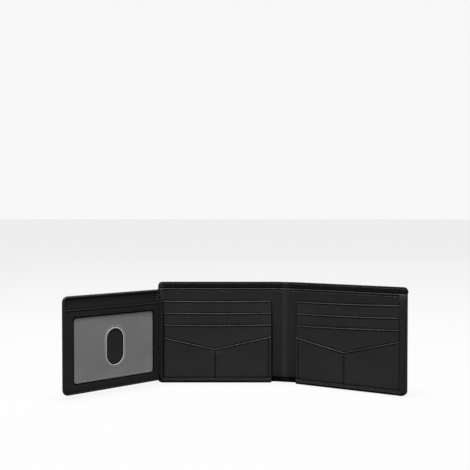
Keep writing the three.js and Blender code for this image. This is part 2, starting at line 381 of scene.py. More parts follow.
def face_out(obj: Object) -> None:
    """Makes the faces of closed or cup-shaped meshes point outwards."""
    with editing(obj, everything=True):
        bpy.ops.mesh.normals_make_consistent(inside=False)


def lay_flat_map(obj: Object) -> None:
    """Gives a flat piece a UV map of its own X and Z, in millimetres."""
    layer = obj.data.uv_layers.new(name=FLAT_MAP)
    for loop in obj.data.loops:
        place = obj.data.vertices[loop.vertex_index].co
        layer.data[loop.index].uv = (place.x / MM, place.z / MM)


def steps(start: float, end: float, pitch: float) -> list[float]:
    """Evenly spaced places between two ends, about a pitch apart, without the ends."""
    count = max(int(round(abs(end - start) / pitch)), 1)
    return [start + (end - start) * i / count for i in range(1, count)]


# ---- leaves --------------------------------------------------------------------------------
@dataclass(frozen=True)
class Mouth:
    """A straight upper edge of a leaf, between two X."""

    place: Vector
    up: Vector
    left: float
    right: float

    def covers(self, place: Vector, slack_x: float = 0.0) -> bool:
        """Whether a place lies under this edge."""
        return self.left - slack_x <= place.x <= self.right + slack_x

    def below(self, place: Vector) -> float:
        """How far a place lies below the edge, square to it."""
        return (self.place - place).dot(self.up)


@dataclass
class Leaf:
    """An upright leaf of leather or cloth, modelled flat."""

    name: str
    left: float
    right: float
    bottom: float
    top: float
    front: float
    back: float
    obj: Object = field(init=False)

    def block(self) -> "Leaf":
        """Adds the leaf as a plain block at its size and place."""
        bpy.ops.object.select_all(action="DESELECT")
        size = (self.right - self.left, self.back - self.front, self.top - self.bottom)
        centre = (
            (self.left + self.right) / 2, (self.front + self.back) / 2,
            (self.bottom + self.top) / 2,
        )
        bpy.ops.mesh.primitive_cube_add(size=1, location=centre, scale=size)
        bpy.ops.object.transform_apply(location=True, rotation=True, scale=True)
        self.obj = bpy.context.object
        self.obj.name = self.name
        return self

    def round_corners(self, corners: list[tuple[float, float, float]]) -> "Leaf":
        """Rounds upright corners, each given as X, Z and a radius.

        Args:
            corners: each as X, Z and a radius.

        Returns:
            The leaf.
        """
        with editing(self.obj):
            for x, z, radius in corners:
                spot = Vector((x, 0, z))

                def at_corner(edge: BMEdge) -> bool:
                    """Whether an edge runs through the leaf at this corner."""
                    flat = [Vector((v.co.x, 0, v.co.z)) for v in edge.verts]
                    return all((p - spot).length < TOUCH for p in flat)

                if pick(self.obj, Element.EDGES, at_corner):
                    bpy.ops.mesh.bevel(offset=radius, segments=CORNER_STEPS, affect="EDGES")
        return self

    def round_all_corners(self, radius: float) -> "Leaf":
        """Rounds the four upright corners alike."""
        spots = [(x, z) for x in (self.left, self.right) for z in (self.bottom, self.top)]
        return self.round_corners([(x, z, radius) for x, z in spots])

    def grid(self, columns: list[float], rows: list[float] | None = None) -> "Leaf":
        """Cuts the leaf into columns and rows, evenly spaced if not given, so that it can bend.

        Args:
            columns: X of the upright cuts.
            rows: Z of the level cuts, evenly spaced if not given.

        Returns:
            The leaf.
        """
        if rows is None:
            rows = steps(self.bottom, self.top, GRID_PITCH)
        with editing(self.obj):
            cut_upright(self.obj, columns)
            cut_level(self.obj, rows)
        return self

    def is_front(self, face: BMFace) -> bool:
        """Whether a face is on the leaf's front."""
        return face.normal.y < -0.5

    def on_front(self, vert: BMVert) -> bool:
        """Whether a vertex is on the leaf's front."""
        return vert.co.y < self.front + FACE_SLACK

    def crease(
        self,
        place: Vector,
        normal: Vector,
        width: float = 0.66 * MM,
        depth: float = 0.34 * MM,
        within: Callable[[Vector], bool] = lambda p: True,
        dye: float = 1.0,
    ) -> "Leaf":
        """Presses a straight groove into the front and paints shade into it.

        Args:
            place: a point on the groove.
            normal: across the groove, in the leaf's plane.
            width: of the groove.
            depth: of the groove.
            within: which part of the front it crosses.
            dye: how much darker and duller the groove is, 0 to 1.

        Returns:
            The leaf.
        """
        normal = normal.normalized()

        def chosen(face: BMFace) -> bool:
            """Whether a face is on the front, where the groove runs."""
            return self.is_front(face) and within(face.calc_center_median())

        def in_groove(vert: BMVert, reach: float) -> bool:
            """Whether a vertex is on the front, this near the groove."""
            near = abs((vert.co - place).dot(normal)) < reach
            return near and self.on_front(vert) and within(vert.co)

        with editing(self.obj):
            cut(self.obj, [place + normal * width * o for o in GROOVE_CUTS], normal, chosen)
            shape = bmesh.from_edit_mesh(self.obj.data)
            floats = shape.verts.layers.float
            # Painted shade: the groove's vertices get a darkness that the leather's material turns dark and
            # dull.
            layer = floats.get(GROOVE_SHADE) or floats.new(GROOVE_SHADE)
            for vert in shape.verts:
                if in_groove(vert, SHADE_REACH * width):
                    vert[layer] = dye
            bmesh.update_edit_mesh(self.obj.data)
            if pick(self.obj, Element.VERTS, lambda vert: in_groove(vert, TOUCH)):
                bpy.ops.transform.translate(value=(0, depth, 0))
        return self

    def bead(
        self,
        mouths: list["Mouth"],
        height: float = 0.7 * MM,
        share: float = 0.5,
    ) -> "Leaf":
        """Rounds the front away towards each mouth, as a folded edge does.

        Args:
            mouths: the straight upper edges.
            height: of the rounded stretch below the edge.
            share: of the leaf's thickness that the front falls back by.

        Returns:
            The leaf.
        """
        fall = share * (self.back - self.front)
        with editing(self.obj):
            for mouth in mouths:
                def chosen(face: BMFace, mouth: Mouth = mouth) -> bool:
                    """Whether a face is on the front, under this mouth."""
                    return self.is_front(face) and mouth.covers(face.calc_center_median())

                places = [mouth.place - mouth.up * height * part for part in ROUND_CUTS]
                cut(self.obj, places, mouth.up, chosen)
            shape = bmesh.from_edit_mesh(self.obj.data)
            for vert in shape.verts:
                below = min(mouth.below(vert.co) for mouth in mouths if mouth.covers(vert.co, TOUCH))
                if self.on_front(vert) and below < height:
                    vert.co.y += fall * (1 - math.sqrt(1 - (1 - max(below, 0.0) / height) ** 2))
            bmesh.update_edit_mesh(self.obj.data)
        return self

    def roll_top(self, inset: float) -> "Leaf":
        """Rounds the level upper edge and presses a groove this far below it."""
        level = [Mouth(UP * self.top, UP, -math.inf, math.inf)]
        return self.crease(UP * (self.top - inset), UP).bead(level)

    def move(self, shift: Callable[[Vector], Vector]) -> "Leaf":
        """Moves every vertex by a function of its place.

        Args:
            shift: gives the move at a place.

        Returns:
            The leaf.
        """
        for vertex in self.obj.data.vertices:
            vertex.co += shift(vertex.co.copy())
        self.obj.data.update()
        return self

    def soft_edges(self, share: float = 0.45, segments: int = 3) -> "Leaf":
        """Rounds the rims by a share of the leaf's thickness."""
        soften(self.obj, (self.back - self.front) * share, segments)
        return self


def slack(place: Vector) -> float:
    """How far a half's layers stand off flat at a place, all of them alike.

    Args:
        place: on the flat piece.

    Returns:
        The distance along Y.
    """
    return MM * sum(
        height * noise.noise(Vector((place.x * along, seed, place.z * up)))
        for height, along, seed, up in WAVES
    )


# ---- shader graphs -------------------------------------------------------------------------
class Graph:
    """A node tree under construction."""

    def __init__(self, tree: NodeTree) -> None:
        """Takes an empty tree."""
        self.tree = tree

    def put(self, kind: str, inputs: dict | None = None, **settings: object) -> Node:
        """Adds a node.

        Args:
            kind: the node's type name.
            inputs: a value or another node's socket for each input, by name or number.
            settings: the node's own settings.

        Returns:
            The node.
        """
        node = self.tree.nodes.new(kind)
        for key, value in settings.items():
            setattr(node, key, value)
        self.fill(node, inputs or {})
        return node

    def fill(self, node: Node, inputs: dict) -> None:
        """Gives a node's inputs a value or another node's socket each, by name or number.

        Args:
            node: the node.
            inputs: a value or another node's socket for each input.
        """
        for key, value in inputs.items():
            socket = node.inputs[key]
            if isinstance(value, NodeSocket):
                self.tree.links.new(value, socket)
            else:
                socket.default_value = value

    def place(self) -> NodeSocket:
        """Where a point is on the piece."""
        return self.put("ShaderNodeTexCoord").outputs["Object"]

    def noise(self, place: object, scale: object, detail: float = 2.0, **more: float) -> NodeSocket:
        """A 0 to 1 noise."""
        inputs = {"Vector": place, "Scale": scale, "Detail": detail, **more}
        return self.put("ShaderNodeTexNoise", inputs).outputs["Fac"]

    def scaled(self, value: NodeSocket, low: float, high: float) -> NodeSocket:
        """A 0 to 1 value brought between two others."""
        inputs = {"Value": value, "To Min": low, "To Max": high}
        return self.put("ShaderNodeMapRange", inputs).outputs["Result"]

    def ramp(self, value: NodeSocket, low: object, high: object) -> NodeSocket:
        """A value as a 0 to 1 mask that rises between two thresholds.

        Args:
            value: the value.
            low: where the mask is 0.
            high: where the mask is 1.

        Returns:
            The mask.
        """
        inputs = {"Value": value, "From Min": low, "From Max": high}
        node = self.put("ShaderNodeMapRange", inputs, interpolation_type="SMOOTHSTEP")
        return node.outputs["Result"]

    def math(self, kind: str, first: object, second: object) -> NodeSocket:
        """One sum of two values."""
        return self.put("ShaderNodeMath", {0: first, 1: second}, operation=kind).outputs[0]

    def stretched(self, vector: NodeSocket, scale: object) -> NodeSocket:
        """A vector times a number."""
        node = self.put("ShaderNodeVectorMath", {0: vector, "Scale": scale}, operation="SCALE")
        return node.outputs[0]

    def tint(self, mask: object, low: object, high: object) -> NodeSocket:
        """A colour between two others by a mask.

        Args:
            mask: 0 to 1.
            low: the colour at 0.
            high: the colour at 1.

        Returns:
            The colour.
        """
        mask_input, low_input, high_input, colour = 0, 6, 7, 2
        inputs = {mask_input: mask, low_input: low, high_input: high}
        node = self.put("ShaderNodeMix", data_type="RGBA")
        self.fill(node, inputs)
        return node.outputs[colour]

    def bump(self, height: object, strength: float, distance: float) -> NodeSocket:
        """A normal bent by a height."""
        inputs = {"Height": height, "Strength": strength, "Distance": distance}
        return self.put("ShaderNodeBump", inputs).outputs["Normal"]


class EffectGroup:
    """A shared effect as a shader node group, built once."""

    def __init__(self, name: str, inputs: dict[str, float], outputs: list[str]) -> None:
        """Makes the group's sockets.

        Args:
            name: of the group.
            inputs: default value of each numeric input; a vector input comes first.
            outputs: names of the values it puts out.
        """
        self.tree = bpy.data.node_groups.new(name, "ShaderNodeTree")
        face = self.tree.interface
        face.new_socket("Vector", in_out="INPUT", socket_type="NodeSocketVector")
        for key, value in inputs.items():
            socket = face.new_socket(key, in_out="INPUT", socket_type="NodeSocketFloat")
            socket.default_value = value
        for key in outputs:
            face.new_socket(key, in_out="OUTPUT", socket_type="NodeSocketFloat")
        self.graph = Graph(self.tree)
        self.source = self.graph.put("NodeGroupInput").outputs
        self.sink = self.graph.put("NodeGroupOutput").inputs

    def give(self, key: str, value: NodeSocket) -> None:
        """Connects one output of the group."""
        self.tree.links.new(value, self.sink[key])

    def place(self, graph: Graph, **values: object) -> Node:
        """Places the group in a material with its own values."""
        return graph.put("ShaderNodeGroup", values, node_tree=self.tree)

    def mask(self, graph: Graph, **values: object) -> NodeSocket:
        """Places a group that puts out a mask, and gives the mask."""
        return self.place(graph, **values).outputs["Mask"]


class Effects:
    """The effects that the finishes share."""

    def __init__(self) -> None:
        """Builds each group."""
        self.grain = self.build_grain()
        self.wear = self.build_wear()
        self.dust = self.build_dust()
        self.crevice = self.build_crevice()
        self.weave = self.build_weave()

    @staticmethod
    def build_grain() -> EffectGroup:
        """Leather grain: small rounded cells with creases between, and pores."""
        group = EffectGroup("leather_grain", {"Cells": 1300.0, "Pores": 0.4}, ["Height", "Shade"])
        graph, source = group.graph, group.source
        place = source["Vector"]
        bend = graph.put("ShaderNodeTexNoise", {"Vector": place, "Scale": 420.0, "Detail": 2.0})
        shift = graph.stretched(bend.outputs["Color"], 0.0007)
        warped = graph.put("ShaderNodeVectorMath", {0: place, 1: shift}).outputs[0]
        cell_inputs = {"Vector": warped, "Scale": source["Cells"]}
        cells = graph.put("ShaderNodeTexVoronoi", cell_inputs, feature="SMOOTH_F1")
        cracks = graph.put("ShaderNodeTexVoronoi", cell_inputs, feature="DISTANCE_TO_EDGE")
        valley = graph.ramp(cracks.outputs["Distance"], 0.0, 0.16)
        dome = graph.math("SUBTRACT", 1.0, cells.outputs["Distance"])
        pitted = graph.math("MULTIPLY", graph.noise(place, 5200.0), source["Pores"])
        group.give("Height", graph.math("ADD", graph.math("MULTIPLY", dome, valley), pitted))
        cloud = graph.noise(place, 60.0, 4.0)
        group.give("Shade", graph.math("MULTIPLY", cloud, graph.scaled(valley, 0.7, 1.0)))
        return group

    @staticmethod
    def build_wear() -> EffectGroup:
        """Rubbed edges with a painted highlight: a mask that rises where the surface turns outwards."""
        group = EffectGroup("edge_wear", {"Start": 0.52, "Full": 0.62}, ["Mask"])
        graph, source = group.graph, group.source
        turn = graph.put("ShaderNodeNewGeometry").outputs["Pointiness"]
        mask = graph.ramp(turn, source["Start"], source["Full"])
        broken = graph.scaled(graph.noise(source["Vector"], 160.0, 3.0), 0.55, 1.15)
        group.give("Mask", graph.math("MULTIPLY", mask, broken))
        return group

    @staticmethod
    def build_dust() -> EffectGroup:
        """Faint handling marks and dust: soft blotches with a few specks."""
        group = EffectGroup("handling", {"Blotch": 45.0, "Speck": 1400.0}, ["Mask"])
        graph, source = group.graph, group.source
        blotch = graph.noise(source["Vector"], source["Blotch"], 3.0, Distortion=0.8)
        specks = graph.ramp(graph.noise(source["Vector"], source["Speck"]), 0.7, 0.78)
        group.give("Mask", graph.math("MAXIMUM", graph.ramp(blotch, 0.42, 0.72), specks))
        return group

    @staticmethod
    def build_crevice() -> EffectGroup:
        """Painted shade where two pieces meet: a mask that rises in narrow gaps and darkens and dulls the
        surface there.
        """
        group = EffectGroup("crevice", {"Reach": 0.0036, "Depth": 1.0}, ["Mask"])
        graph, source = group.graph, group.source
        gap = graph.put("ShaderNodeAmbientOcclusion", {"Distance": source["Reach"]}, samples=12)
        closed = graph.math("SUBTRACT", 1.0, gap.outputs["AO"])
        streak = graph.scaled(graph.noise(source["Vector"], 220.0), 0.85, 1.15)
        uneven = graph.math("MULTIPLY", closed, streak)
        group.give("Mask", graph.math("MULTIPLY", graph.ramp(uneven, 0.07, 0.24), source["Depth"]))
        return group

    @staticmethod
    def build_weave() -> EffectGroup:
        """Twill weave from a flat map in millimetres."""
        group = EffectGroup("twill", {"Threads": 2.4}, ["Height", "Shade"])
        graph, source = group.graph, group.source
        scaled = graph.stretched(source["Vector"], source["Threads"])
        axes = graph.put("ShaderNodeSeparateXYZ", {0: scaled}).outputs

        def wave(value: NodeSocket, turn: float) -> NodeSocket:
            """A sine of a value times a number."""
            return graph.math("SINE", graph.math("MULTIPLY", value, turn), 0.0)

        rib = wave(graph.math("ADD", axes["X"], axes["Y"]), math.pi)
        along, across = wave(axes["X"], 2 * math.pi), wave(axes["Y"], 2 * math.pi)
        crossing = graph.math("MULTIPLY", graph.math("MULTIPLY", along, across), 0.4)
        mixed = graph.math("ADD", crossing, graph.math("MULTIPLY", rib, 0.6))
        level = graph.math("ADD", graph.math("MULTIPLY", mixed, 0.5), 0.5)
        group.give("Height", level)
        group.give("Shade", level)
        return group


# ---- finishes ------------------------------------------------------------------------------
def new_material(name: str) -> tuple[Material, Graph, Node]:
    """An empty material with a Principled shader.

    Args:
        name: of the material.

    Returns:
        The material, its graph and the shader node.
    """
    material = bpy.data.materials.new(name)
    material.use_nodes = True
    tree = material.node_tree
    tree.nodes.clear()
    graph = Graph(tree)
    shader = graph.put("ShaderNodeBsdfPrincipled")
    graph.put("ShaderNodeOutputMaterial", {"Surface": shader.outputs["BSDF"]})
    return material, graph, shader


class Slot(Enum):
    """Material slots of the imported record."""

    LEATHER = "black_leather"
    LINING = "lining_cloth"
    THREAD = "thread"
    FILM = "window_film"


@dataclass(frozen=True)
class Finish:
    """A built material and the record's slot that it belongs to."""

    material: Material
    slot: Slot

@dataclass(frozen=True)
class LeatherFinish:
    """Dyed leather with grain, handling marks, rubbed edges that also carry a painted highlight, and painted
    shade in crevices and grooves.
    """

    name: str
    dark: tuple[float, float, float, float]
    light: tuple[float, float, float, float]
    worn: tuple[float, float, float, float]
    gloss: tuple[float, float]
    cells: float
    bump: float
    specular: float
    seam_dye: tuple[float, float, float, float] = (0.0012, 0.0012, 0.0012, 1.0)
    polish: float = -0.08
    dulling: float = 0.6
    grain_depth: float = 0.12 * MM

    def build(self, effects: Effects) -> Finish:
        """Makes the material from the shared effects.

        Args:
            effects: the shared effects.

        Returns:
            The finish.
        """
        material, graph, shader = new_material(self.name)
        place = graph.place()
        grain = effects.grain.place(graph, Vector=place, Cells=self.cells).outputs
        # Rubbed edges are lighter: partly real wear, partly a painted highlight along the edges.
        wear = effects.wear.mask(graph, Vector=place)
        marks = effects.dust.mask(graph, Vector=place)
        # Painted shade: narrow gaps and pressed grooves turn to the shade colour and grow rougher.
        crevice_shade_mask = effects.crevice.mask(graph, Vector=place)
        pressed = graph.put("ShaderNodeAttribute", attribute_name=GROOVE_SHADE).outputs["Fac"]
        shade_mask = graph.math("MAXIMUM", crevice_shade_mask, pressed)
        dyed = graph.tint(grain["Shade"], self.dark, self.light)
        polished = graph.math("MULTIPLY", wear, self.polish)
        worn = graph.math("ADD", graph.scaled(marks, *self.gloss), polished)
        graph.fill(shader, {
            "Base Color": graph.tint(shade_mask, graph.tint(wear, dyed, self.worn), self.seam_dye),
            "Roughness": graph.math("ADD", worn, graph.math("MULTIPLY", shade_mask, self.dulling)),
            "Normal": graph.bump(grain["Height"], self.bump, self.grain_depth),
            "Specular IOR Level": self.specular,
        })
        return Finish(material, Slot.LEATHER)


@dataclass(frozen=True)
class ClothFinish:
    """Black twill lining."""

    name: str
    dark: tuple[float, float, float, float]
    light: tuple[float, float, float, float]
    threads: float = 2.4

    def build(self, effects: Effects) -> Finish:
        """Makes the material from the shared effects.

        Args:
            effects: the shared effects.

        Returns:
            The finish.
        """
        material, graph, shader = new_material(self.name)
        flat = graph.put("ShaderNodeUVMap", uv_map=FLAT_MAP).outputs["UV"]
        weave = effects.weave.place(graph, Vector=flat, Threads=self.threads).outputs
        marks = effects.dust.mask(graph, Vector=graph.place())
        graph.fill(shader, {
            "Base Color": graph.tint(weave["Shade"], self.dark, self.light),
            "Roughness": graph.scaled(marks, 0.92, 0.78),
            "Normal": graph.bump(weave["Height"], 0.5, 0.1 * MM),
            "Sheen Weight": 0.15,
        })
        return Finish(material, Slot.LINING)


@dataclass(frozen=True)
class ThreadFinish:
    """Waxed black sewing thread, with the twist of its plies."""

    name: str
    dark: tuple[float, float, float, float]
    light: tuple[float, float, float, float]

    def build(self, effects: Effects) -> Finish:
        """Makes the material from the shared effects.

        Args:
            effects: the shared effects.

        Returns:
            The finish.
        """
        material, graph, shader = new_material(self.name)
        place = graph.place()
        turned = graph.put("ShaderNodeMapping", {"Vector": place, "Rotation": (0.6, 0.0, 0.7)})
        inputs = {"Vector": turned.outputs["Vector"], "Scale": 1100.0, "Distortion": 1.2}
        plies = graph.put("ShaderNodeTexWave", inputs).outputs["Fac"]
        graph.fill(shader, {
            "Base Color": graph.tint(plies, self.dark, self.light),
            "Roughness": graph.scaled(effects.dust.mask(graph, Vector=place), 0.6, 0.45),
            "Normal": graph.bump(plies, 0.5, 0.1 * MM),
        })
        return Finish(material, Slot.THREAD)


@dataclass(frozen=True)
class FilmFinish:
    """Hazy window film, or its thicker rim."""

    name: str
    dark: tuple[float, float, float, float]
    light: tuple[float, float, float, float]
    alpha: float
    gloss: tuple[float, float] = (0.34, 0.5)

    def build(self, effects: Effects) -> Finish:
        """Makes the material from the shared effects.

        Args:
            effects: the shared effects.

        Returns:
            The finish.
        """
        material, graph, shader = new_material(self.name)
        place = graph.place()
        marks = effects.dust.mask(graph, Vector=place, Blotch=28.0, Speck=900.0)
        graph.fill(shader, {
            "Base Color": graph.tint(marks, self.dark, self.light),
            "Roughness": graph.scaled(marks, *self.gloss),
            "Normal": graph.bump(graph.noise(place, 90.0), 0.12, 0.6 * MM),
            "Alpha": self.alpha,
            "Specular IOR Level": 0.5,
        })
        return Finish(material, Slot.FILM)


def grey(value: float, warmth: float = 0.0) -> tuple[float, float, float, float]:
    """A grey, with a little more red than blue if it is warm."""
    return (value * (1 + warmth), value, value * (1 - warmth / 2), 1.0)


class Finishes:
    """The finishes of the wallet, each built once."""

    def __init__(self) -> None:
        """Builds every finish from the shared effects."""
        effects = Effects()
        self.cover = LeatherFinish(
            "cover_leather", dark=grey(0.006), light=grey(0.014, 0.03), worn=grey(0.045),
            gloss=(0.54, 0.46), cells=1150.0, bump=0.42, specular=0.26,
        ).build(effects)
        # The hem finish is a darker, duller copy of the cover leather: painted shade for the hems and the
        # window lip, which sit in shade.
        self.hem = LeatherFinish(
            "hem_leather", dark=grey(0.003), light=grey(0.007, 0.03), worn=grey(0.03),
            gloss=(0.66, 0.6), cells=1150.0, bump=0.42, specular=0.09,
        ).build(effects)
        self.pocket = LeatherFinish(
            "pocket_leather", dark=grey(0.012, 0.03), light=grey(0.023, 0.05), worn=grey(0.07),
            gloss=(0.5, 0.42), cells=1500.0, bump=0.3, specular=0.27,
        ).build(effects)
        self.panel = LeatherFinish(
            "panel_leather", dark=grey(0.009, 0.03), light=grey(0.018, 0.05), worn=grey(0.06),
            gloss=(0.54, 0.46), cells=1500.0, bump=0.3, specular=0.22,
        ).build(effects)
        self.cloth = ClothFinish("lining_cloth", grey(0.004), grey(0.014)).build(effects)
        self.thread = ThreadFinish("sewing_thread", grey(0.006), grey(0.02)).build(effects)
        self.film = FilmFinish("window_film", grey(0.4), grey(0.46), alpha=0.35).build(effects)
        self.ridge = FilmFinish(
            "film_ridge", grey(0.46), grey(0.54), alpha=0.5, gloss=(0.25, 0.35),
        ).build(effects)
        self.rim = FilmFinish(
            "film_rim", grey(0.66), grey(0.74), alpha=0.8, gloss=(0.22, 0.32),
        ).build(effects)


# ---- stitches ------------------------------------------------------------------------------
@dataclass(frozen=True)
class StitchRow:
    """A straight row of stitches on a face, from one X and Z to another."""

    start: tuple[float, float]
    end: tuple[float, float]
    face: float
    pitch: float = 3.2 * MM
    length: float = 2.5 * MM
    width: float = 0.52 * MM
    rise: float = 0.2 * MM
    slant: float = 5.0

    @property
    def run(self) -> tuple[float, float]:
        """Length of the row, and its slope from level in radians."""
        dx, dz = self.end[0] - self.start[0], self.end[1] - self.start[1]
        return math.hypot(dx, dz), math.atan2(dz, dx)

    def build(self) -> Object:
        """Models one stitch, repeats it along the row and brings the row to its place."""
        length, slope = self.run
        bpy.ops.object.select_all(action="DESELECT")
        bpy.ops.mesh.primitive_uv_sphere_add(segments=8, ring_count=6, radius=0.5)
        row = bpy.context.object
        row.rotation_euler = (0, math.pi / 2, 0)
        bpy.ops.object.transform_apply(location=False, rotation=True, scale=False)
        tip = self.width * 1.6
        row.scale = (tip, self.rise * 2, self.width)
        bpy.ops.object.transform_apply(location=False, rotation=False, scale=True)
        half = (self.length - tip) / 2
        with editing(row):
            for way in (-1, 1):
                pick(row, Element.VERTS, lambda v, way=way: way * v.co.x > TOUCH)
                bpy.ops.transform.translate(value=(way * half, 0, 0))
        row.rotation_euler = (0, math.radians(self.slant), 0)
        bpy.ops.object.transform_apply(location=False, rotation=True, scale=False)
        count = max(int(length / self.pitch), 1)
        apply_modifier(
            row, "ARRAY", count=count, use_relative_offset=False, use_constant_offset=True,
            constant_offset_displace=(length / count, 0, 0),
        )
        row.rotation_euler = (0, -slope, 0)
        first = length / count / 2
        row.location = (
            self.start[0] + first * math.cos(slope), self.face,
            self.start[1] + first * math.sin(slope),
        )
        bpy.ops.object.transform_apply(location=True, rotation=True, scale=False)
        return row


def sew(name: str, rows: list[StitchRow]) -> Object:
    """Models rows of stitches and joins them into one piece.

    Args:
        name: of the piece.
        rows: its rows.

    Returns:
        The piece, flat.
    """
    objects = [row.build() for row in rows]
    select_only(*objects)
    if len(objects) > 1:
        bpy.ops.object.join()
    piece = bpy.context.view_layer.objects.active
    piece.name = name
    return piece


# ---- turned edges --------------------------------------------------------------------------
@dataclass(frozen=True)
class TurnedSheet:
    """A leather sheet whose edges are turned over onto its front.

    Its outer edge is at outer_x, its other end at inner_x. The turned border's widths are for the
    bottom, the outer side and the top; a width of 0 leaves that side plain.
    """

    name: str
    inner_x: float
    outer_x: float
    bottom: float
    top: float
    back: float
    front: float
    border: tuple[float, float, float]
    radius: float
    thickness: float
    turn_from: float
    turn_to: float
    fillet: float = 0.7 * MM
    curl: float = 0.0
    tight: float = 0.8 * MM  # radius of the border's inner corners

    @property
    def way(self) -> int:
        """Direction in X from the inner end to the outer edge."""
        return 1 if self.outer_x > self.inner_x else -1

    def out(self, x: float) -> float:
        """Distance of an X inwards from the outer edge."""
        return self.way * (self.outer_x - x)

    def plain(self) -> Object:
        """Adds the upright sheet with its outer corners rounded."""
        bpy.ops.object.select_all(action="DESELECT")
        centre = ((self.inner_x + self.outer_x) / 2, self.back, (self.bottom + self.top) / 2)
        bpy.ops.mesh.primitive_plane_add(size=1, location=centre, rotation=(-math.pi / 2, 0, 0))
        obj = bpy.context.object
        obj.name = self.name
        obj.scale = (abs(self.outer_x - self.inner_x), self.top - self.bottom, 1)
        bpy.ops.object.transform_apply(location=True, rotation=True, scale=True)
        with editing(obj):
            pick(obj, Element.VERTS, lambda v: self.out(v.co.x) < TOUCH)
            bpy.ops.mesh.bevel(offset=self.radius, segments=CORNER_STEPS, affect="VERTICES")
        return obj

    def is_turned(self, edge: BMEdge) -> bool:
        """Whether a boundary edge is one that is turned over.

        Args:
            edge: an edge of the flat sheet.

        Returns:
            Whether it is turned over.
        """
        if len(edge.link_faces) != 1:
            return False
        middle = (edge.verts[0].co + edge.verts[1].co) / 2
        along = self.way * (middle.x - self.inner_x)
        if along < max(TOUCH, self.way * (self.turn_from - self.inner_x) - TOUCH):
            return False
        if self.top - middle.z < TOUCH:
            return self.border[2] > 0
        return middle.z < self.turn_to + TOUCH

    def tucked(self, x: float, z: float) -> tuple[float, float]:
        """Where a point of the outline comes to on the border's inner edge.

        Args:
            x: X on the outline.
            z: Z on the outline.

        Returns:
            X and Z on the inner edge.
        """
        low, side, high = self.border
        tight = self.tight
        out = self.out(x)
        for over, width, sign, base in (
            (z - self.bottom, low, 1, self.bottom), (self.top - z, high, -1, self.top),
        ):
            if width > 0 and out < self.radius and over < self.radius:
                angle = math.atan2(self.radius - over, self.radius - out)
                new_out = side + tight * (1 - math.cos(angle))
                new_over = width + tight * (1 - math.sin(angle))
                return self.outer_x - self.way * new_out, base + sign * new_over
            if width > 0 and over < TOUCH:
                kept = max(out, side + tight)
                return self.outer_x - self.way * kept, base + sign * width
        z = max(z, self.bottom + low + tight) if low > 0 else z
        z = min(z, self.top - high - tight) if high > 0 else z
        return self.outer_x - self.way * side, z

    def build(self, columns: list[float], rows: list[float]) -> Object:
        """Models the sheet, turns its edges and gives it its thickness.

        Args:
            columns: X of the upright cuts.
            rows: Z of the level cuts.

        Returns:
            The sheet, flat.
        """
        obj = self.plain()
        with editing(obj):
            cut_upright(obj, columns)
            cut_level(obj, rows)
            pick(obj, Element.EDGES, self.is_turned)
            fall = {"value": (0, self.front - self.back, 0)}
            bpy.ops.mesh.extrude_edges_move(TRANSFORM_OT_translate=fall)
            bpy.ops.mesh.extrude_edges_move(TRANSFORM_OT_translate={"value": (0, 0, 0)})
            shape = bmesh.from_edit_mesh(obj.data)
            for vert in shape.verts:
                if vert.select:
                    vert.co.x, vert.co.z = self.tucked(vert.co.x, vert.co.z)
            bmesh.update_edit_mesh(obj.data)
        face_out(obj)
        self.face_back(obj)
        soften(obj, self.fillet, 5)
        if self.curl > 0:
            self.curl_plain_edge(obj)
        apply_modifier(obj, "SOLIDIFY", thickness=self.thickness, offset=-1.0)
        face_out(obj)
        soften(obj, self.thickness * 0.3, 2)
        for vertex in obj.data.vertices:
            vertex.co.y = min(vertex.co.y, self.back)
            vertex.co.z = max(vertex.co.z, self.bottom)
        obj.data.update()
        return obj

    def curl_plain_edge(self, obj: Object) -> None:
        """Rolls the lower edge inwards where it isn't turned over.

        Args:
            obj: the sheet.
        """
        start = self.way * self.turn_from

        def is_plain(face: BMFace) -> bool:
            """Whether a face is where the edge isn't turned."""
            return self.way * face.calc_center_median().x < start - FACE_SLACK

        with editing(obj):
            cut_level(obj, [self.bottom + self.curl * part for part in CURL_CUTS], is_plain)
            shape = bmesh.from_edit_mesh(obj.data)
            for vert in shape.verts:
                left = self.curl - max(vert.co.z - self.bottom, 0.0)
                if self.way * vert.co.x < start - TOUCH and left > 0:
                    vert.co.y -= self.curl - math.sqrt(self.curl ** 2 - left ** 2)
            bmesh.update_edit_mesh(obj.data)

    def face_back(self, obj: Object) -> None:
        """Turns the faces round if the sheet's back doesn't face away from the border.

        Args:
            obj: the sheet.
        """
        widest = max(obj.data.polygons, key=lambda p: p.area if abs(p.normal.y) > 0.9 else 0)
        if widest.normal.y < 0 and widest.center.y > (self.front + self.back) / 2:
            with editing(obj, everything=True):
                bpy.ops.mesh.flip_normals()


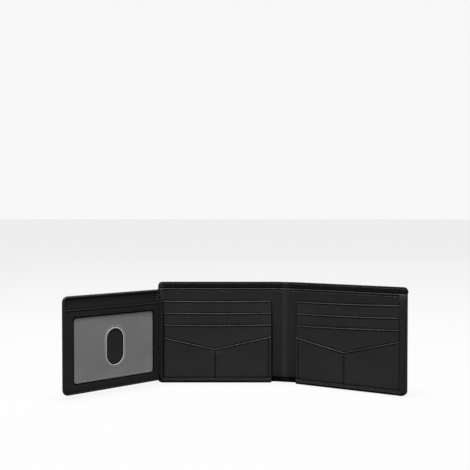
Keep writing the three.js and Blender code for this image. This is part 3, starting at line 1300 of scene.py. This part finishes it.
# ---- pieces --------------------------------------------------------------------------------
class Workshop:
    """Folds, dresses and hands over each finished piece.

    Each hand-over is given the piece, flat, its finish and the nodes that it stands for.
    """

    def __init__(self, layout: Layout, finishes: Finishes) -> None:
        """Takes the layout and the finishes."""
        self.layout = layout
        self.finishes = finishes

    def dress(
        self, obj: Object, finish: Finish, nodes: tuple[str, ...], on_flap: bool = False,
    ) -> None:
        """Smooths a flat piece, folds it, gives it its material, and hides and logs the nodes it stands for.

        Args:
            obj: the piece.
            finish: its finish.
            nodes: the nodes it stands for.
            on_flap: whether it folds with the flap.
        """
        polish(obj)
        lay_flat_map(obj)
        self.layout.stand(obj, on_flap)
        obj.data.materials.clear()
        obj.data.materials.append(finish.material)
        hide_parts(*nodes)
        log.info("%s stands for %s", obj.name, ", ".join(nodes))

    def on_body(self, obj: Object, body: str, finish: Finish, nodes: tuple[str, ...]) -> Object:
        """Finishes a piece that moves with one body."""
        self.dress(obj, finish, nodes, on_flap=body == "flap")
        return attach(obj, body)

    def across_spine(
        self, obj: Object, side: Side, finish: Finish, nodes: tuple[str, ...],
    ) -> Object:
        """Finishes a piece that bends at a half's fold line.

        Args:
            obj: the piece.
            side: the half.
            finish: its finish.
            nodes: the nodes it stands for.

        Returns:
            The piece.
        """
        self.dress(obj, finish, nodes)
        self.layout.join_bodies(obj, side)
        return obj

    def across_hinge(self, obj: Object, finish: Finish, nodes: tuple[str, ...]) -> None:
        """Finishes a piece that bends at the flap's hinge."""
        self.dress(obj, finish, nodes, on_flap=True)
        self.layout.join_flap(obj)


# ---- one half ------------------------------------------------------------------------------
@dataclass
class Half:
    """One half of the wallet: cover, note compartment and pockets."""

    shop: Workshop
    side: Side
    crease_inset: float = 1.2 * MM
    seam_inset: float = 2.4 * MM
    cover_seam_inset: float = 1.7 * MM
    bend_pitch: float = 0.78 * MM
    border_bottom: float = 4.4 * MM
    border_side: float = 5.0 * MM
    corner_radius: float = 4.0 * MM
    overrun: float = 0.5 * MM  # past the spine's middle, before it is trimmed there
    row_stop: float = 1.0 * MM  # from the end of a row of stitches to the edge it runs up to
    sunk: float = 0.22 * MM  # how deep a row of stitches lies in a seam's groove
    dip_groove: float = 1.02  # a dip's grooves meet this far below it, in crease insets
    slots: int = 3

    def __post_init__(self) -> None:
        """Reads the half's widths and layers from the frame, mostly from the left half."""
        layout = self.shop.layout
        self.finishes = self.shop.finishes
        self.body = self.name("half")
        self.fold_x = layout.fold_x(self.side)
        self.width = layout.origin.x - span("left_cover", 0)[0]
        stack_left, stack_right = span("left_corner_pocket", 0)
        self.stack_start, self.stack_end = layout.origin.x - stack_right, layout.origin.x - stack_left
        self.spine_middle = -layout.spacing / 2  # inwards from the fold line
        self.top = span("left_cover", 2)[1]
        self.divider_top = span("left_divider", 2)[1]
        self.hem_top = span("spine_divider", 2)[0]
        self.corner_start = span("left_corner_pocket", 2)[1]
        self.corner_end = span(self.name("corner_pocket"), 2)[1]
        self.dip = span(self.name("pocket_stitching"), 2)[1] + 1 * MM
        self.dip_away = self.away_of("pocket_stitching")

    def away_of(self, node: str) -> float:
        """Distance of one of this half's nodes from its fold line.

        Args:
            node: the node's name, without the half.

        Returns:
            The distance.
        """
        layout = self.shop.layout
        place, turn = layout.origin, math.pi
        if self.side is Side.RIGHT:
            place, turn = layout.far_place, layout.turns[1]
        low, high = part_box(self.name(node))
        middle = (Vector(low) + Vector(high)) / 2
        return (middle - place).dot(Vector((math.cos(turn), math.sin(turn), 0)))

    def rise_of(self, node: str) -> float:
        """How far a node's upper edge rises towards the outer side."""
        return span(self.name(node), 2)[1] - span(f"left_{node}", 2)[1]

    def x(self, away: float) -> float:
        """X of a place, given its distance from the fold line towards the outer edge."""
        return self.fold_x + self.side.value * away

    def name(self, piece: str) -> str:
        """Name of one of this half's pieces, nodes or bodies."""
        return f"{self.side.word}_{piece}"

    def between(self, near: float, far: float) -> tuple[float, float]:
        """Left and right X of a leaf between two distances from the fold line."""
        left, right = sorted((self.x(near), self.x(far)))
        return left, right

    def leaf(self, name: str, near: float, far: float, node: str, bottom: float | None = None) -> Leaf:
        """A block with the height and depth of one of the left half's nodes.

        Args:
            name: of the new piece, without the half.
            near: its end by the spine, from the fold line.
            far: its outer end, from the fold line.
            node: the node's name, without the half.
            bottom: its lower edge, if not the node's.

        Returns:
            The leaf as a block.
        """
        left, right = self.between(near, far)
        low, high = span(f"left_{node}", 2)
        front, back = span(f"left_{node}", 1)
        low = low if bottom is None else bottom
        return Leaf(self.name(name), left, right, low, high, front, back).block()

    @property
    def turned_side(self) -> float:
        """Width of the turned border at the outer side, less where the flap's strip covers it."""
        return self.border_side - (1.0 * MM if self.side is Side.LEFT else 0.0)

    def columns(self, near: float, far: float) -> list[float]:
        """X of upright cuts: close together at the bend, wider apart elsewhere.

        Args:
            near: the leaf's end by the spine, from the fold line.
            far: its outer end.

        Returns:
            The places.
        """
        bend = self.shop.layout.BEND
        away = steps(max(bend, near), far, GRID_PITCH)
        if near < -bend:
            away += [-bend, bend] + steps(-bend, bend, self.bend_pitch)
        return [self.x(value) for value in away]

    def ease(self, leaf: Leaf, lift: float = 0.0, sag: float = 0.0) -> None:
        """Takes the stiffness out of a leaf.

        Args:
            leaf: the leaf.
            lift: how far its upper edge leans out at the middle.
            sag: how far its upper edge sags at the middle.
        """
        reach, settled = 8 * MM, 12 * MM  # below the upper edge, and from the seam by the spine
        middle = (self.stack_start + self.stack_end) / 2
        half = self.stack_end - middle

        def shift(place: Vector) -> Vector:
            """Move of a point at a place."""
            away = self.side.value * (place.x - self.fold_x)
            inner = smooth((away - self.stack_start) / settled)
            across = max(0.0, 1 - ((away - middle) / half) ** 2)
            near_top = smooth((place.z - leaf.top + reach) / reach)
            ease = slack(place) * inner * smooth(across * 3)
            return Vector((0, ease - lift * near_top * across, -sag * near_top * across))

        leaf.move(shift)

    def slope(self, leaf: Leaf, rise: float) -> None:
        """Makes a leaf's upper edge rise towards the outer side.

        Args:
            leaf: the leaf.
            rise: how much higher it is at its outer end.
        """
        def shift(place: Vector) -> Vector:
            """Move of a point at a place."""
            away = self.side.value * (place.x - self.fold_x)
            share = (away - self.stack_start) / (self.stack_end - self.stack_start)
            height = (place.z - leaf.bottom) / (leaf.top - leaf.bottom)
            return Vector((0, 0, rise * share * height))

        leaf.move(shift)

    # -- cover --
    def make_cover(self) -> None:
        """Cover leather, turned over the bottom and outer edges."""
        front, back = span("left_cover", 1)
        start = self.x(self.stack_start)
        sheet = TurnedSheet(
            self.name("cover_leather"), self.x(self.spine_middle), self.x(self.width), 0.0, self.top,
            back, front, border=(self.border_bottom, self.turned_side, 0.0),
            radius=self.corner_radius, thickness=0.9 * MM, turn_from=start,
            turn_to=self.divider_top, fillet=1.9 * MM, curl=1.0 * MM,
        )
        columns = [start] + self.columns(self.spine_middle, self.width - 5 * MM)
        rows = [self.divider_top] + steps(5 * MM, self.divider_top, GRID_PITCH)
        obj = sheet.build(columns, rows)
        nodes = (self.name("cover"), "spine_cover")
        self.shop.across_spine(obj, self.side, self.finishes.cover, nodes)

    def spine_leaf(
        self, piece: str, node: str, finish: Finish, rolled: bool = False, bottom: float | None = None,
    ) -> Object:
        """A leaf that runs from the stack's outer end across the fold line to the spine's middle.

        Args:
            piece: name of the piece, without the half.
            node: name of its node, without the half.
            finish: its finish.
            rolled: whether its upper edge has a pressed line under it.
            bottom: its lower edge, if not the node's.

        Returns:
            The finished piece.
        """
        leaf = self.leaf(piece, self.spine_middle - self.overrun, self.stack_end, node, bottom)
        leaf.grid(self.columns(self.spine_middle, self.stack_end))
        if rolled:
            leaf.roll_top(self.crease_inset)
        leaf.soft_edges(TRIMMED)
        self.ease(leaf)
        self.trim_at_middle(leaf.obj)
        nodes = (self.name(node), f"spine_{node.replace('cover_', '')}")
        return self.shop.across_spine(leaf.obj, self.side, finish, nodes)

    def trim_at_middle(self, obj: Object) -> None:
        """Cuts a leaf off square at the spine's middle, where it meets the other half's.

        Args:
            obj: the leaf, flat.
        """
        with editing(obj, everything=True):
            bpy.ops.mesh.bisect(
                plane_co=(self.x(self.spine_middle), 0, 0), plane_no=(self.side.value, 0, 0),
                use_fill=True, clear_inner=True, threshold=CUT_GAP,
            )

    def make_spine_layers(self) -> None:
        """Hems, divider and linings, which all run across the spine."""
        bottom = self.hem_top
        # The top hem gets the darker hem finish, as painted shade.
        self.spine_leaf("top_hem", "top_band", self.finishes.hem)
        self.spine_leaf("divider_leather", "divider", self.finishes.panel, rolled=True, bottom=bottom)
        for piece, node in (("compartment_cloth", "cover_lining"), ("divider_cloth", "divider_lining")):
            cloth = self.spine_leaf(piece, node, self.finishes.cloth, bottom=bottom)
            cover = self.name("cover_leather")
        self.make_hem()

    def make_hem(self) -> None:
        """Bottom hem of the cover at the spine, under the divider; its darker finish is painted shade."""
        front, back = span("left_top_band", 1)
        left, right = self.between(self.spine_middle - self.overrun, self.stack_start)
        gap = 0.3 * MM
        leaf = Leaf(self.name("bottom_hem"), left, right, gap, self.hem_top - gap, front, back)
        leaf.block().grid(self.columns(self.spine_middle, self.stack_start), [])
        leaf.soft_edges(0.45)
        self.trim_at_middle(leaf.obj)
        self.shop.across_spine(leaf.obj, self.side, self.finishes.hem, ("spine_cover",))

    # -- pockets --
    def make_slot(self, index: int) -> None:
        """Leather face and cloth lining of one card slot.

        Args:
            index: of the slot, 1 at the top.
        """
        columns = self.columns(self.stack_start, self.stack_end)
        node, lining = f"card_slot_{index}", f"card_slot_lining_{index}"
        face = self.leaf(f"slot_face_{index}", self.stack_start, self.stack_end, node)
        face.grid(columns).roll_top(self.crease_inset).soft_edges(TRIMMED)
        self.ease(face, lift=0.42 * MM, sag=0.45 * MM)
        self.slope(face, self.rise_of(node))
        self.shop.on_body(face.obj, self.body, self.finishes.pocket, (self.name(node),))

        inset = 1 * MM
        ends = (self.stack_start + inset, self.stack_end - inset)
        cloth = self.leaf(f"slot_cloth_{index}", *ends, lining)
        cloth.grid(columns).soft_edges(0.3, 2)
        self.ease(cloth)
        piece = self.shop.on_body(cloth.obj, self.body, self.finishes.cloth, (self.name(lining),))
        self.name(f"slot_face_{index}")

    def make_corner_pocket(self) -> None:
        """Front pocket, whose upper edge dips."""
        leaf = self.leaf("corner_pocket_leather", self.stack_start, self.stack_end, "corner_pocket")
        middle, dip, outer = self.x(self.dip_away), self.dip, self.side.value
        ends = {-outer: self.x(self.stack_start), outer: self.x(self.stack_end)}
        heights = {-outer: self.corner_start, outer: self.corner_end}
        reach = {way: abs(x - middle) for way, x in ends.items()}
        with editing(leaf.obj):
            cut_upright(leaf.obj, [middle])
            for x, height in ((middle, dip), (ends[outer], self.corner_end)):
                def on_top(vert: BMVert, x: float = x) -> bool:
                    """Whether a vertex is on the upper edge at this X."""
                    return abs(vert.co.x - x) < TOUCH and abs(vert.co.z - leaf.top) < TOUCH

                pick(leaf.obj, Element.VERTS, on_top)
                bpy.ops.transform.translate(value=(0, 0, height - leaf.top))
        columns = self.columns(self.stack_start, self.stack_end)
        columns = [x for x in columns if abs(x - middle) > FACE_SLACK]
        leaf.grid(columns, steps(leaf.bottom, dip, GRID_PITCH))
        mouths = []
        for way in (-1, 1):
            edge = Vector((way * reach[way], 0, heights[way] - dip))
            across = (Vector((-edge.z, 0, edge.x)) * way).normalized()
            left, right = sorted((middle, middle + way * reach[way]))
            mouths.append(Mouth(Vector((middle, 0, dip)), across, left, right))
            line = Vector((middle, 0, dip - self.crease_inset * self.dip_groove))
            leaf.crease(line, across, within=lambda p, way=way: way * (p.x - middle) > -TOUCH)
        leaf.bead(mouths)
        seam = {"normal": ACROSS, "width": 1.1 * MM}
        leaf.crease(ACROSS * middle, **seam, within=lambda p: p.z < dip - 1.6 * MM)
        leaf.crease(ACROSS * self.x(self.stack_start + self.seam_inset), **seam, depth=0.3 * MM)
        leaf.soft_edges(TRIMMED)
        self.ease_corner(leaf, middle, heights, reach)
        self.shop.on_body(leaf.obj, self.body, self.finishes.pocket, (self.name("corner_pocket"),))

    def ease_corner(
        self, leaf: Leaf, middle: float, heights: dict[int, float], reach: dict[int, float],
    ) -> None:
        """Leans the corner pocket's two mouths out a little, but not where they are sewn.

        Args:
            leaf: the pocket.
            middle: X of its dip.
            heights: Z of its upper edge at its left (-1) and right (1) end.
            reach: how far each end is from the dip.
        """
        lean, fall = 0.4 * MM, 7 * MM  # at the middle of a mouth, and down to where it ends

        def shift(place: Vector) -> Vector:
            """Move of a point at a place."""
            way = 1 if place.x > middle else -1
            share = abs(place.x - middle) / reach[way]
            edge = self.dip + (heights[way] - self.dip) * share
            near_top = smooth((place.z - edge + fall) / fall)
            mouth = max(0.0, 1 - (2 * share - 1) ** 2)
            inner = smooth((1 - share) * 4)
            return Vector((0, slack(place) * inner - lean * near_top * mouth, 0))

        leaf.move(shift)

    # -- stitches --
    def stitch(self, word: str, *rows: StitchRow, spine: tuple[str, ...] = ()) -> None:
        """Sews rows of stitches onto the half.

        Args:
            word: the seam's name, without the half.
            rows: its rows.
            spine: the spine's nodes that the rows stand for, if they run onto the spine.
        """
        obj = sew(self.name(f"{word}_stitches"), list(rows))
        nodes = (self.name(f"{word}_stitching"), *spine)
        if spine:
            self.shop.across_spine(obj, self.side, self.finishes.thread, nodes)
        else:
            self.shop.on_body(obj, self.body, self.finishes.thread, nodes)

    def make_stitches(self) -> None:
        """Every row of stitches of the half."""
        inset, corner, stop = self.seam_inset, self.corner_radius, self.row_stop
        border, cover_back = span("left_cover", 1)
        outer = self.x(self.width - inset)
        bottom = ((self.x(self.stack_start + stop), inset), (self.x(self.width - corner), inset))
        rows = [
            StitchRow(*bottom, border),
            StitchRow(*bottom, cover_back),
            StitchRow((outer, corner), (outer, self.top - corner), cover_back),
        ]
        if self.side is Side.RIGHT:
            rows.append(StitchRow((outer, corner), (outer, self.divider_top - stop), border))
        self.stitch("border", *rows)

        groove = span("left_corner_pocket", 1)[0] + self.sunk
        seam_x, middle = self.x(self.stack_start + inset), self.x(self.dip_away)
        for word, x, node in (
            ("seam", seam_x, "left_seam_stitching"), ("pocket", middle, self.name("pocket_stitching")),
        ):
            low, high = span(node, 2)
            self.stitch(word, StitchRow((x, low), (x, high), groove))

        start, end = self.x(self.spine_middle), self.x(self.stack_end - stop)
        spine = ("spine_divider_stitching",)
        level = self.divider_top - inset
        self.stitch(
            "divider", StitchRow((start, level), (end, level), span("left_divider", 1)[0]), spine=spine,
        )
        level = self.top - self.cover_seam_inset
        ends = ((start, level), (end, level))
        hem = span("left_top_band", 1)[0]
        self.stitch("cover", StitchRow(*ends, hem), StitchRow(*ends, cover_back), spine=spine)

    def build(self) -> None:
        """Makes the whole half."""
        self.make_cover()
        self.make_spine_layers()
        for index in range(1, self.slots + 1):
            self.make_slot(index)
        self.make_corner_pocket()
        self.make_stitches()


# ---- flap ----------------------------------------------------------------------------------
@dataclass
class Flap:
    """The flip-out flap with its window, modelled flat open to the left."""

    shop: Workshop
    radius: float = 5.0 * MM
    border: float = 2.0 * MM
    frame_layer: tuple[float, float] = (0.1 * MM, 0.75 * MM)
    film_layer: tuple[float, float] = (0.9 * MM, 1.05 * MM)
    inner_layer: tuple[float, float] = (1.2 * MM, 1.6 * MM)
    back_layer: tuple[float, float] = (-0.25 * MM, 2.5 * MM)
    length: float = 98.5 * MM
    window_start: float = 6.0 * MM
    window_end: float = 87.9 * MM
    window_bottom: float = 11.2 * MM
    window_top: float = 65.0 * MM
    thumb_width: float = 17.4 * MM
    thumb_height: float = 31.0 * MM
    thumb_roundness: float = 0.998  # of half its width, so that its ends keep a flat
    strip_trim: float = 0.8 * MM
    strip_seam: float = 2.4 * MM  # from the strip's edge to its seam
    strip_radius: float = 3.5 * MM
    layer_inset: float = 0.7 * MM  # of the inner layers from the turned border's outside
    sheet_thickness: float = 0.35 * MM
    window_radius: float = 2.5 * MM
    lip: float = 1.3 * MM

    def __post_init__(self) -> None:
        """Reads the flap's heights and hinge from the frame."""
        self.hinge = self.shop.layout.hinge
        self.bottom, self.top = span("flap_back", 2)
        self.slot_top = span("flap_window_frame", 2)[1]
        low, high = span("flap_hinge_strip", 0)
        self.strip = (low, high - self.strip_trim)
        self.strip_layer = span("flap_hinge_strip", 1)

    def x(self, away: float) -> float:
        """X of a place on the flat flap, from its hinge line."""
        return self.hinge.x - away

    def y(self, depth: float) -> float:
        """Y of a depth behind the flap's front."""
        return self.hinge.y + depth

    @property
    def strip_seam_x(self) -> float:
        """X of the seam that holds the strip."""
        return self.strip[1] - self.strip_seam

    def columns(self, far: float) -> list[float]:
        """X of upright cuts, close together at the hinge.

        Args:
            far: the last place, from the hinge line.

        Returns:
            The places.
        """
        bend = self.shop.layout.FLAP_BEND
        close = steps(-bend, bend, 0.5 * MM)
        return [self.x(v) for v in [-bend, bend] + close + steps(bend, far, GRID_PITCH)]

    def settle(self, obj: Object, depths: tuple[float, float], strip: tuple[float, float]) -> None:
        """Brings a layer's depth to that of the sewn strip as it crosses the hinge.

        Args:
            obj: the layer, flat.
            depths: front and back of the layer on the flap.
            strip: front and back Y of the layer on the strip.
        """
        near, fall = 2.4 * MM, 2.6 * MM  # where it begins, from the hinge line, and how long it is
        front, back = self.y(depths[0]), self.y(depths[1])
        for vertex in obj.data.vertices:
            share = smooth((vertex.co.x - self.x(near)) / fall)
            level = (vertex.co.y - front) / (back - front)
            target = strip[0] + level * (strip[1] - strip[0])
            vertex.co.y += (target - vertex.co.y) * share
        obj.data.update()

    def make_back(self) -> None:
        """Back leather, turned over the three free edges and sewn on by its fourth."""
        front, back = self.back_layer
        turn_from = self.x(0.4 * MM)
        sheet = TurnedSheet(
            "flap_back_leather", self.strip[1], self.x(self.length), self.bottom, self.top,
            self.y(back), self.y(front), border=(self.border,) * 3, radius=self.radius,
            thickness=self.sheet_thickness, turn_from=turn_from, turn_to=self.top, fillet=0.9 * MM,
        )
        rows = steps(self.bottom + self.radius, self.top - self.radius, GRID_PITCH)
        columns = self.columns(self.length - self.radius - 1 * MM) + [turn_from]
        obj = sheet.build(columns, rows)
        strip_back = self.strip_layer[1]
        strip = (strip_back - 0.3 * MM, strip_back)
        self.settle(obj, (back - self.sheet_thickness, back), strip)
        nodes = ("flap_back", "flap_hinge_strip")
        self.shop.across_hinge(obj, self.shop.finishes.cover, nodes)

    def hinge_leaf(self, name: str, top: float, layer: tuple[float, float]) -> Leaf:
        """A layer of the flap that runs on to the sewn strip.

        Args:
            name: of the piece.
            top: Z of its upper edge.
            layer: its front and back depth.

        Returns:
            The leaf as a block.
        """
        edge, radius = self.layer_inset, self.radius - self.layer_inset
        left, right = self.x(self.length - edge), self.strip[1]
        leaf = Leaf(name, left, right, self.bottom + edge, top, self.y(layer[0]), self.y(layer[1]))
        leaf.block()
        leaf.round_corners([(left, leaf.bottom, radius), (right, leaf.bottom, self.strip_radius)])
        if top > self.slot_top + 1 * MM:
            leaf.round_corners([(left, top, radius), (right, top, self.strip_radius)])
        return leaf

    def make_inner(self) -> None:
        """Inner face leather, seen above the card pocket's mouth and through the film."""
        leaf = self.hinge_leaf("flap_inner_leather", self.top - self.layer_inset, self.inner_layer)
        leaf.grid(self.columns(self.length - 1 * MM))
        leaf.crease(ACROSS * self.strip_seam_x, ACROSS, width=1.2 * MM)
        leaf.soft_edges(0.42)
        front = self.strip_layer[0]
        self.settle(leaf.obj, self.inner_layer, (front + 0.18 * MM, front + 0.6 * MM))
        nodes = ("flap_inner_face", "flap_hinge_strip")
        self.shop.across_hinge(leaf.obj, self.shop.finishes.pocket, nodes)

    def make_frame(self) -> None:
        """Leather frame of the window."""
        leaf = self.hinge_leaf("flap_frame_leather", self.slot_top, self.frame_layer)
        leaf.grid(self.columns(self.length - 1 * MM)).roll_top(1.5 * MM)
        leaf.crease(ACROSS * self.strip_seam_x, ACROSS, width=1.2 * MM)
        self.bore(leaf.obj, self.window_cutter(self.lip))
        leaf.soft_edges(TRIMMED)
        front = self.strip_layer[0]
        self.settle(leaf.obj, self.frame_layer, (front, front + 0.14 * MM))
        nodes = ("flap_window_frame", "flap_hinge_strip")
        self.shop.across_hinge(leaf.obj, self.shop.finishes.panel, nodes)

    def window_block(self, name: str, grow: float, front: float, back: float) -> Leaf:
        """A block the size of the window, grown all round, between two depths.

        Args:
            name: of the piece.
            grow: how far it goes past the window.
            front: its front depth.
            back: its back depth.

        Returns:
            The block.
        """
        return Leaf(
            name, self.x(self.window_end + grow), self.x(self.window_start - grow),
            self.window_bottom - grow, self.window_top + grow, self.y(front), self.y(back),
        ).block()

    def window_cutter(self, grow: float) -> Leaf:
        """A block that cuts the window's shape, grown all round, through a layer."""
        block = self.window_block("cutter", grow, -6 * MM, 6 * MM)
        return block.round_all_corners(self.window_radius + grow)

    def make_lip(self) -> None:
        """Narrow matt lip between the frame and the film, set back from the frame's face; its dark finish is
        painted shade for the frame edge's shadow on the film.
        """
        lip = self.window_block("flap_window_lip", self.lip + 0.5 * MM, 0.5 * MM, 0.88 * MM)
        lip.round_all_corners(3 * MM)
        self.bore(lip.obj, self.window_cutter(0.0))
        lip.soft_edges(0.4, 2)
        self.shop.on_body(lip.obj, "flap", self.shop.finishes.hem, ("flap_window_frame",))

    @staticmethod
    def bore(obj: Object, tool: Leaf) -> None:
        """Cuts a tool's shape out of a layer and removes the tool."""
        apply_modifier(obj, "BOOLEAN", operation="DIFFERENCE", object=tool.obj, solver="EXACT")
        bpy.data.objects.remove(tool.obj)

    def thumb_block(self, name: str, grow: float, layer: tuple[float, float]) -> Leaf:
        """A block with the round-ended outline of the thumb hole, grown all round.

        Args:
            name: of the piece.
            grow: how far it goes past the hole.
            layer: its front and back depth.

        Returns:
            The block.
        """
        x = self.x((self.window_start + self.window_end) / 2)
        z = (self.window_bottom + self.window_top) / 2
        half, tall = self.thumb_width / 2 + grow, self.thumb_height / 2 + grow
        block = Leaf(name, x - half, x + half, z - tall, z + tall, self.y(layer[0]), self.y(layer[1]))
        return block.block().round_all_corners(half * self.thumb_roundness)

    def thumb_cutter(self, grow: float) -> Leaf:
        """A block that cuts the thumb hole's shape, grown all round, through a layer."""
        return self.thumb_block("cutter", grow, (-4 * MM, 4 * MM))

    def make_film(self) -> None:
        """Window film with its thumb hole, and the pressed rim round the hole."""
        leaf = self.window_block("flap_window_sheet", 2.2 * MM, *self.film_layer)
        self.grid_film(leaf)
        self.press_welt(leaf)
        self.bore(leaf.obj, self.thumb_cutter(0.0))
        with editing(leaf.obj, everything=True):
            bpy.ops.mesh.remove_doubles(threshold=TOUCH)
            bpy.ops.mesh.fill_holes(sides=4)
        soften(leaf.obj, 0.05 * MM, 1)
        self.hand_over_film(leaf, self.shop.finishes.film)
        self.make_ring("flap_thumb_rim", -0.02 * MM, 0.85 * MM, 0.2 * MM, self.shop.finishes.rim)
        self.make_ring("flap_thumb_ridge", 1.8 * MM, 2.35 * MM, 0.14 * MM, self.shop.finishes.ridge)

    @staticmethod
    def grid_film(leaf: Leaf) -> None:
        """Cuts a leaf of film finely enough to bulge."""
        pitch = 5 * MM
        leaf.grid(steps(leaf.left, leaf.right, pitch), steps(leaf.bottom, leaf.top, pitch))

    def hand_over_film(self, leaf: Leaf, finish: Finish) -> None:
        """Bulges a leaf of film and finishes it."""
        leaf.move(self.bulge)
        self.shop.on_body(leaf.obj, "flap", finish, ("flap_window_film",))

    def make_ring(self, name: str, inner: float, outer: float, proud: float, finish: Finish) -> None:
        """A ring of film pressed up round the thumb hole.

        Args:
            name: of the piece.
            inner: its inner edge, outside the hole's.
            outer: its outer edge, outside the hole's.
            proud: how far it stands out of the film.
            finish: its finish.
        """
        front, back = self.film_layer
        ring = self.thumb_block(name, outer, (front - proud, back + 0.02 * MM))
        self.grid_film(ring)
        self.bore(ring.obj, self.thumb_cutter(inner))
        soften(ring.obj, 0.1 * MM, 2)
        self.hand_over_film(ring, finish)

    def press_welt(self, leaf: Leaf) -> None:
        """Raises the welded line of the film just inside the window's edge.

        Args:
            leaf: the film.
        """
        inset = 1.0 * MM
        ridge = {"width": 0.7 * MM, "depth": -0.14 * MM, "dye": 0.0}
        left, right = self.x(self.window_end - inset), self.x(self.window_start + inset)
        low, high = self.window_bottom + inset, self.window_top - inset
        for z in (low, high):
            leaf.crease(UP * z, UP, **ridge, within=lambda p: left <= p.x <= right)
        for x in (left, right):
            leaf.crease(ACROSS * x, ACROSS, **ridge, within=lambda p: low <= p.z <= high)

    def bulge(self, place: Vector) -> Vector:
        """How far the film stands forward at a place in the window.

        Args:
            place: on the flat flap.

        Returns:
            The move.
        """
        away = self.hinge.x - place.x
        across = (away - self.window_start) / (self.window_end - self.window_start)
        up = (place.z - self.window_bottom) / (self.window_top - self.window_bottom)
        inside = 1.0
        for share in (across, up):
            inside *= max(0.0, math.sin(math.pi * min(max(share, 0), 1)))
        return Vector((0, -0.45 * MM * inside, 0))

    def make_stitches(self) -> None:
        """Stitches through the border of the flap and through its sewn strip."""
        inset, width = 1.15 * MM, 0.4 * MM
        outer, near = self.x(self.length - inset), self.x(2 * MM)
        corner = self.x(self.length - self.radius)
        low, high = self.bottom + self.radius, self.top - self.radius
        rows = []
        for face in (self.y(depth) for depth in self.back_layer):
            for z in (self.bottom + inset, self.top - inset):
                rows.append(StitchRow((near, z), (corner, z), face, width=width))
            rows.append(StitchRow((outer, low), (outer, high), face, width=width))
        thread = self.shop.finishes.thread
        self.shop.on_body(sew("flap_stitches", rows), "flap", thread, ("flap_stitching",))

        x, margin = self.strip_seam_x, 4 * MM
        face = self.strip_layer[0] + 0.2 * MM
        row = StitchRow((x, self.bottom + margin), (x, self.top - margin), face)
        obj = sew("flap_hinge_stitches", [row])
        self.shop.on_body(obj, "left_half", thread, ("flap_hinge_stitching",))

    def build(self) -> None:
        """Makes the whole flap."""
        self.make_back()
        self.make_inner()
        self.make_frame()
        self.make_lip()
        self.make_film()
        self.make_stitches()


# ---- studio --------------------------------------------------------------------------------
@dataclass(frozen=True)
class Lamp:
    """A square soft light that points at the wallet."""

    name: str
    place: tuple[float, float, float]
    size: float
    power: float
    aim_height: float = 45.0 * MM

    def build(self) -> None:
        """Adds the light to the scene."""
        data = bpy.data.lights.new(self.name, "AREA")
        data.shape = "SQUARE"
        data.size = self.size
        data.energy = self.power
        lamp = bpy.data.objects.new(self.name, data)
        bpy.context.scene.collection.objects.link(lamp)
        lamp.location = self.place
        lamp.rotation_mode = "QUATERNION"
        aim = UP * self.aim_height - Vector(self.place)
        lamp.rotation_quaternion = aim.to_track_quat("-Z", "Y")


@dataclass(frozen=True)
class Studio:
    """Pale floor, soft light and the camera."""

    layout: Layout
    paper: float = 0.935
    glow: float = 0.835
    fill: float = 0.3
    lens: float = 65.0
    sensor: float = 36.0
    distance: float = 759.3 * MM
    height: float = 149.7 * MM
    aim_x: float = 69.1 * MM
    tilt: float = 1.335
    floor_size: float = 60.0
    floor_drop: float = 0.2 * MM
    lamps: tuple[Lamp, ...] = (
        Lamp("top_light", (-0.05, -0.05, 1.4), size=0.8, power=62.0),
        Lamp("front_light", (0.1, -1.9, 0.62), size=0.9, power=6.0),
        Lamp("side_light", (-1.7, -0.6, 0.5), size=0.7, power=2.0),
        Lamp("back_light", (0.5, 1.9, 0.9), size=1.2, power=8.0),
    )

    def floor(self) -> None:
        """Pale paper that the wallet stands on."""
        bpy.ops.object.select_all(action="DESELECT")
        bpy.ops.mesh.primitive_plane_add(size=self.floor_size, location=(0, 0, -self.floor_drop))
        floor = bpy.context.object
        floor.name = "floor"
        material, graph, shader = new_material("paper")
        fibre = graph.noise(graph.place(), 300.0, 3.0)
        graph.fill(shader, {
            "Base Color": graph.tint(fibre, grey(0.045), grey(0.05)),
            "Roughness": 0.9,
            "Specular IOR Level": 0.0,
            "Emission Color": grey(1.0),
            "Emission Strength": self.glow,
        })
        floor.data.materials.append(material)
        floor.visible_diffuse = False
        floor.visible_glossy = False
        floor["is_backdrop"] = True

    def sky(self) -> None:
        """Even pale surroundings, dimmer as light than they look."""
        world = bpy.data.worlds.new("studio")
        bpy.context.scene.world = world
        world.use_nodes = True
        world.node_tree.nodes.clear()
        graph = Graph(world.node_tree)
        seen = graph.put("ShaderNodeBackground", {"Color": grey(self.paper), "Strength": 1.0})
        cast = graph.put("ShaderNodeBackground", {"Color": grey(1.0), "Strength": self.fill})
        ray = graph.put("ShaderNodeLightPath").outputs["Is Camera Ray"]
        mixed = graph.put("ShaderNodeMixShader", {0: ray, 1: cast.outputs[0], 2: seen.outputs[0]})
        graph.put("ShaderNodeOutputWorld", {"Surface": mixed.outputs[0]})

    def camera(self) -> None:
        """Camera in front of the left half, a little above it, looking slightly down."""
        data = bpy.data.cameras.new("camera")
        data.sensor_width = self.sensor
        data.lens = self.lens
        camera = bpy.data.objects.new("camera", data)
        bpy.context.scene.collection.objects.link(camera)
        left = span("left_cover", 0)[0]
        camera.location = (left + self.aim_x, self.layout.origin.y - self.distance, self.height)
        camera.rotation_euler = (math.radians(90 - self.tilt), 0, 0)
        bpy.context.scene.camera = camera

    def build(self) -> None:
        """Sets the whole studio up."""
        self.camera()
        self.floor()
        self.sky()
        for lamp in self.lamps:
            lamp.build()
        bpy.context.scene.view_settings.view_transform = "Standard"


def corners() -> list[list[float]]:
    """Lowest and highest corner of what shows, as plain lists."""
    return [list(corner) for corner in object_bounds()]


def main() -> None:
    """Builds the wallet and its studio."""
    logging.basicConfig(level=logging.INFO, format="%(name)s: %(message)s")
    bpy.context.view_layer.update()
    layout = Layout()
    Studio(layout).build()
    shop = Workshop(layout, Finishes())
    for side in Side:
        Half(shop, side).build()
    Flap(shop).build()


if __name__ == "__main__":
    main()
